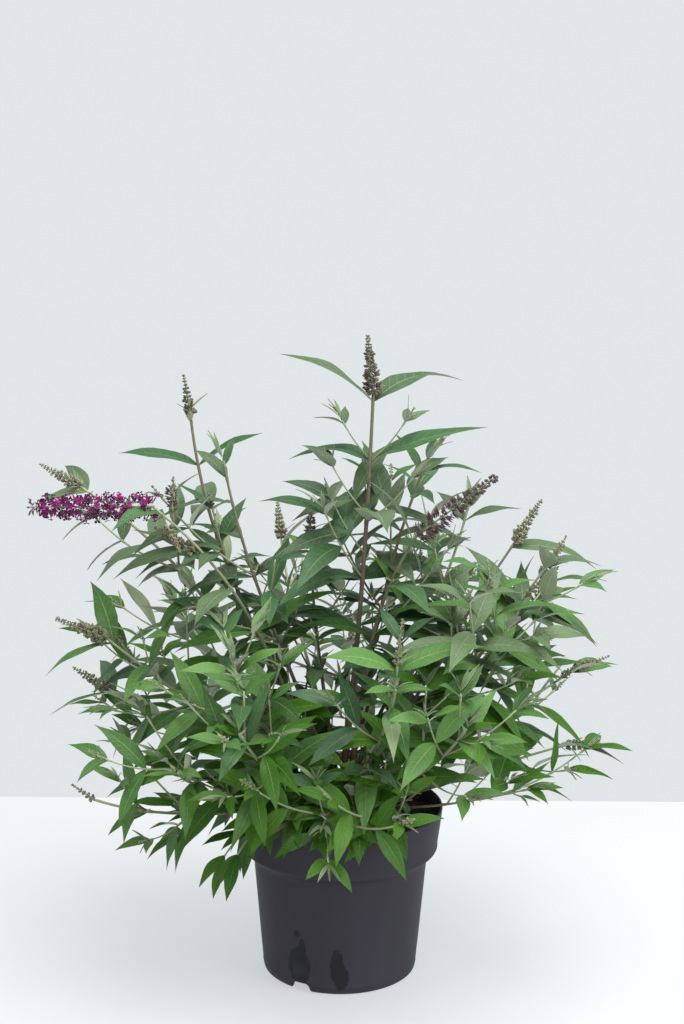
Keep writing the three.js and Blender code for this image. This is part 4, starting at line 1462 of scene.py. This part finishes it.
steps, sides = soilLook["rings"], soilLook["sides"]
outermost, innermost = soilLook["top"]
soilProfile = soilLook["profile"] + [(outermost * (1 - i / steps) + innermost, None) for i in range(steps + 1)]
points = []
for radius, height in soilProfile:
    for j in range(sides):
        px, py = radius * math.cos(2 * math.pi * j / sides), radius * math.sin(2 * math.pi * j / sides)
        points.append(Vector((px, py, soilHeight(px, py) if height is None else height)))
soilGrowth.add(points, closedRings(len(soilProfile), sides))
reach = soilLook["crumbReach"]
for _ in range(soilLook["crumbs"]):
    radius, azimuth = reach * math.sqrt(uniform(0.02, 1)), uniform(0, 2 * math.pi)
    px, py = radius * math.cos(azimuth), radius * math.sin(azimuth)
    size = uniform(*soilLook["small" if uniform(0, 1) < soilLook["smallShare"] else "large"])
    lean = Vector((uniform(-1, 1), uniform(-1, 1), uniform(-0.5, 0.5))).normalized()
    root = Vector((px, py, soilHeight(px, py) + size * 0.15)) - lean * size
    if math.hypot(root.x, root.y) < reach:
        length, wide, tone = size * uniform(*soilLook["long"]), size * uniform(*soilLook["wide"]), uniform(0, 1)
        spindle(soilGrowth, root, lean, length, wide, tone, (1, 0.9), 1)
soilGrowth.build("soil")
print("soil: built")


# Floor, light and camera.
stageLook = {  # metres
    "floor": 3.2,
    "back": 0.48,     # how far it reaches behind the pot
    "under": 0.0003,
    "tone": (0.2, 0.205, 0.21, 1),
    "mottle": (128, 131, 133),
    "glow": (0.49, 0.51, 0.52, 1),
    "world": (0.75, 0.79, 0.81, 1),
}

floorFinish = Finish("floor", Roughness=0.7, Emission_Color=stageLook["glow"], Emission_Strength=1.0)
floorFinish.colour(floorFinish.mix(floorFinish.noise(5, 3) * 0.25, stageLook["tone"], stageLook["mottle"]))
floorMesh = bpy.data.meshes.new("floor")
wide, back = stageLook["floor"], stageLook["back"]
floorMesh.from_pydata([(-wide, -wide, 0), (wide, -wide, 0), (wide, back, 0), (-wide, back, 0)], [], [(0, 1, 2, 3)])
floorMesh.materials.append(floorFinish.material)
floor = bpy.data.objects.new("floor", floorMesh)
floor.location.z = -stageLook["under"]
bpy.context.scene.collection.objects.link(floor)

world = bpy.data.worlds.new("studio")
world.use_nodes = True
world.node_tree.nodes["Background"].inputs["Color"].default_value = stageLook["world"]
world.node_tree.nodes["Background"].inputs["Strength"].default_value = 1.0
bpy.context.scene.world = world
bpy.context.scene.view_settings.view_transform = "Standard"

lamps = {  # place, aim, size, watts
    "overhead": ((0.3, -0.4, 2.4), (0, 0, 0.3), 1.6, 78),
    "right": ((2.2, -1.3, 1.7), (0, 0, 0.3), 1.6, 54),
    "front": ((-0.6, -2.6, 1.4), (0, 0, 0.3), 1.8, 22),
}
for name, (place, aim, size, watts) in lamps.items():
    lamp = bpy.data.lights.new(name, "AREA")
    lamp.energy, lamp.size = watts, size
    holder = bpy.data.objects.new(name, lamp)
    holder.location = place
    holder.rotation_euler = (Vector(aim) - Vector(place)).to_track_quat("-Z", "Y").to_euler()
    bpy.context.scene.collection.objects.link(holder)

cameraLook = {"place": (-0.001, -1.80, 0.825), "down": 11.3, "roll": 0.45, "lens": 66.8, "sensor": 36}
lens = bpy.data.cameras.new("camera")
lens.sensor_fit, lens.lens = "VERTICAL", cameraLook["lens"]
lens.sensor_height = lens.sensor_width = cameraLook["sensor"]
camera = bpy.data.objects.new("camera", lens)
camera.location = cameraLook["place"]
pitch = Matrix.Rotation(math.radians(90 - cameraLook["down"]), 3, "X")
camera.rotation_euler = (pitch @ Matrix.Rotation(math.radians(cameraLook["roll"]), 3, "Z")).to_euler()
bpy.context.scene.collection.objects.link(camera)
bpy.context.scene.camera = camera

print("stage: set")
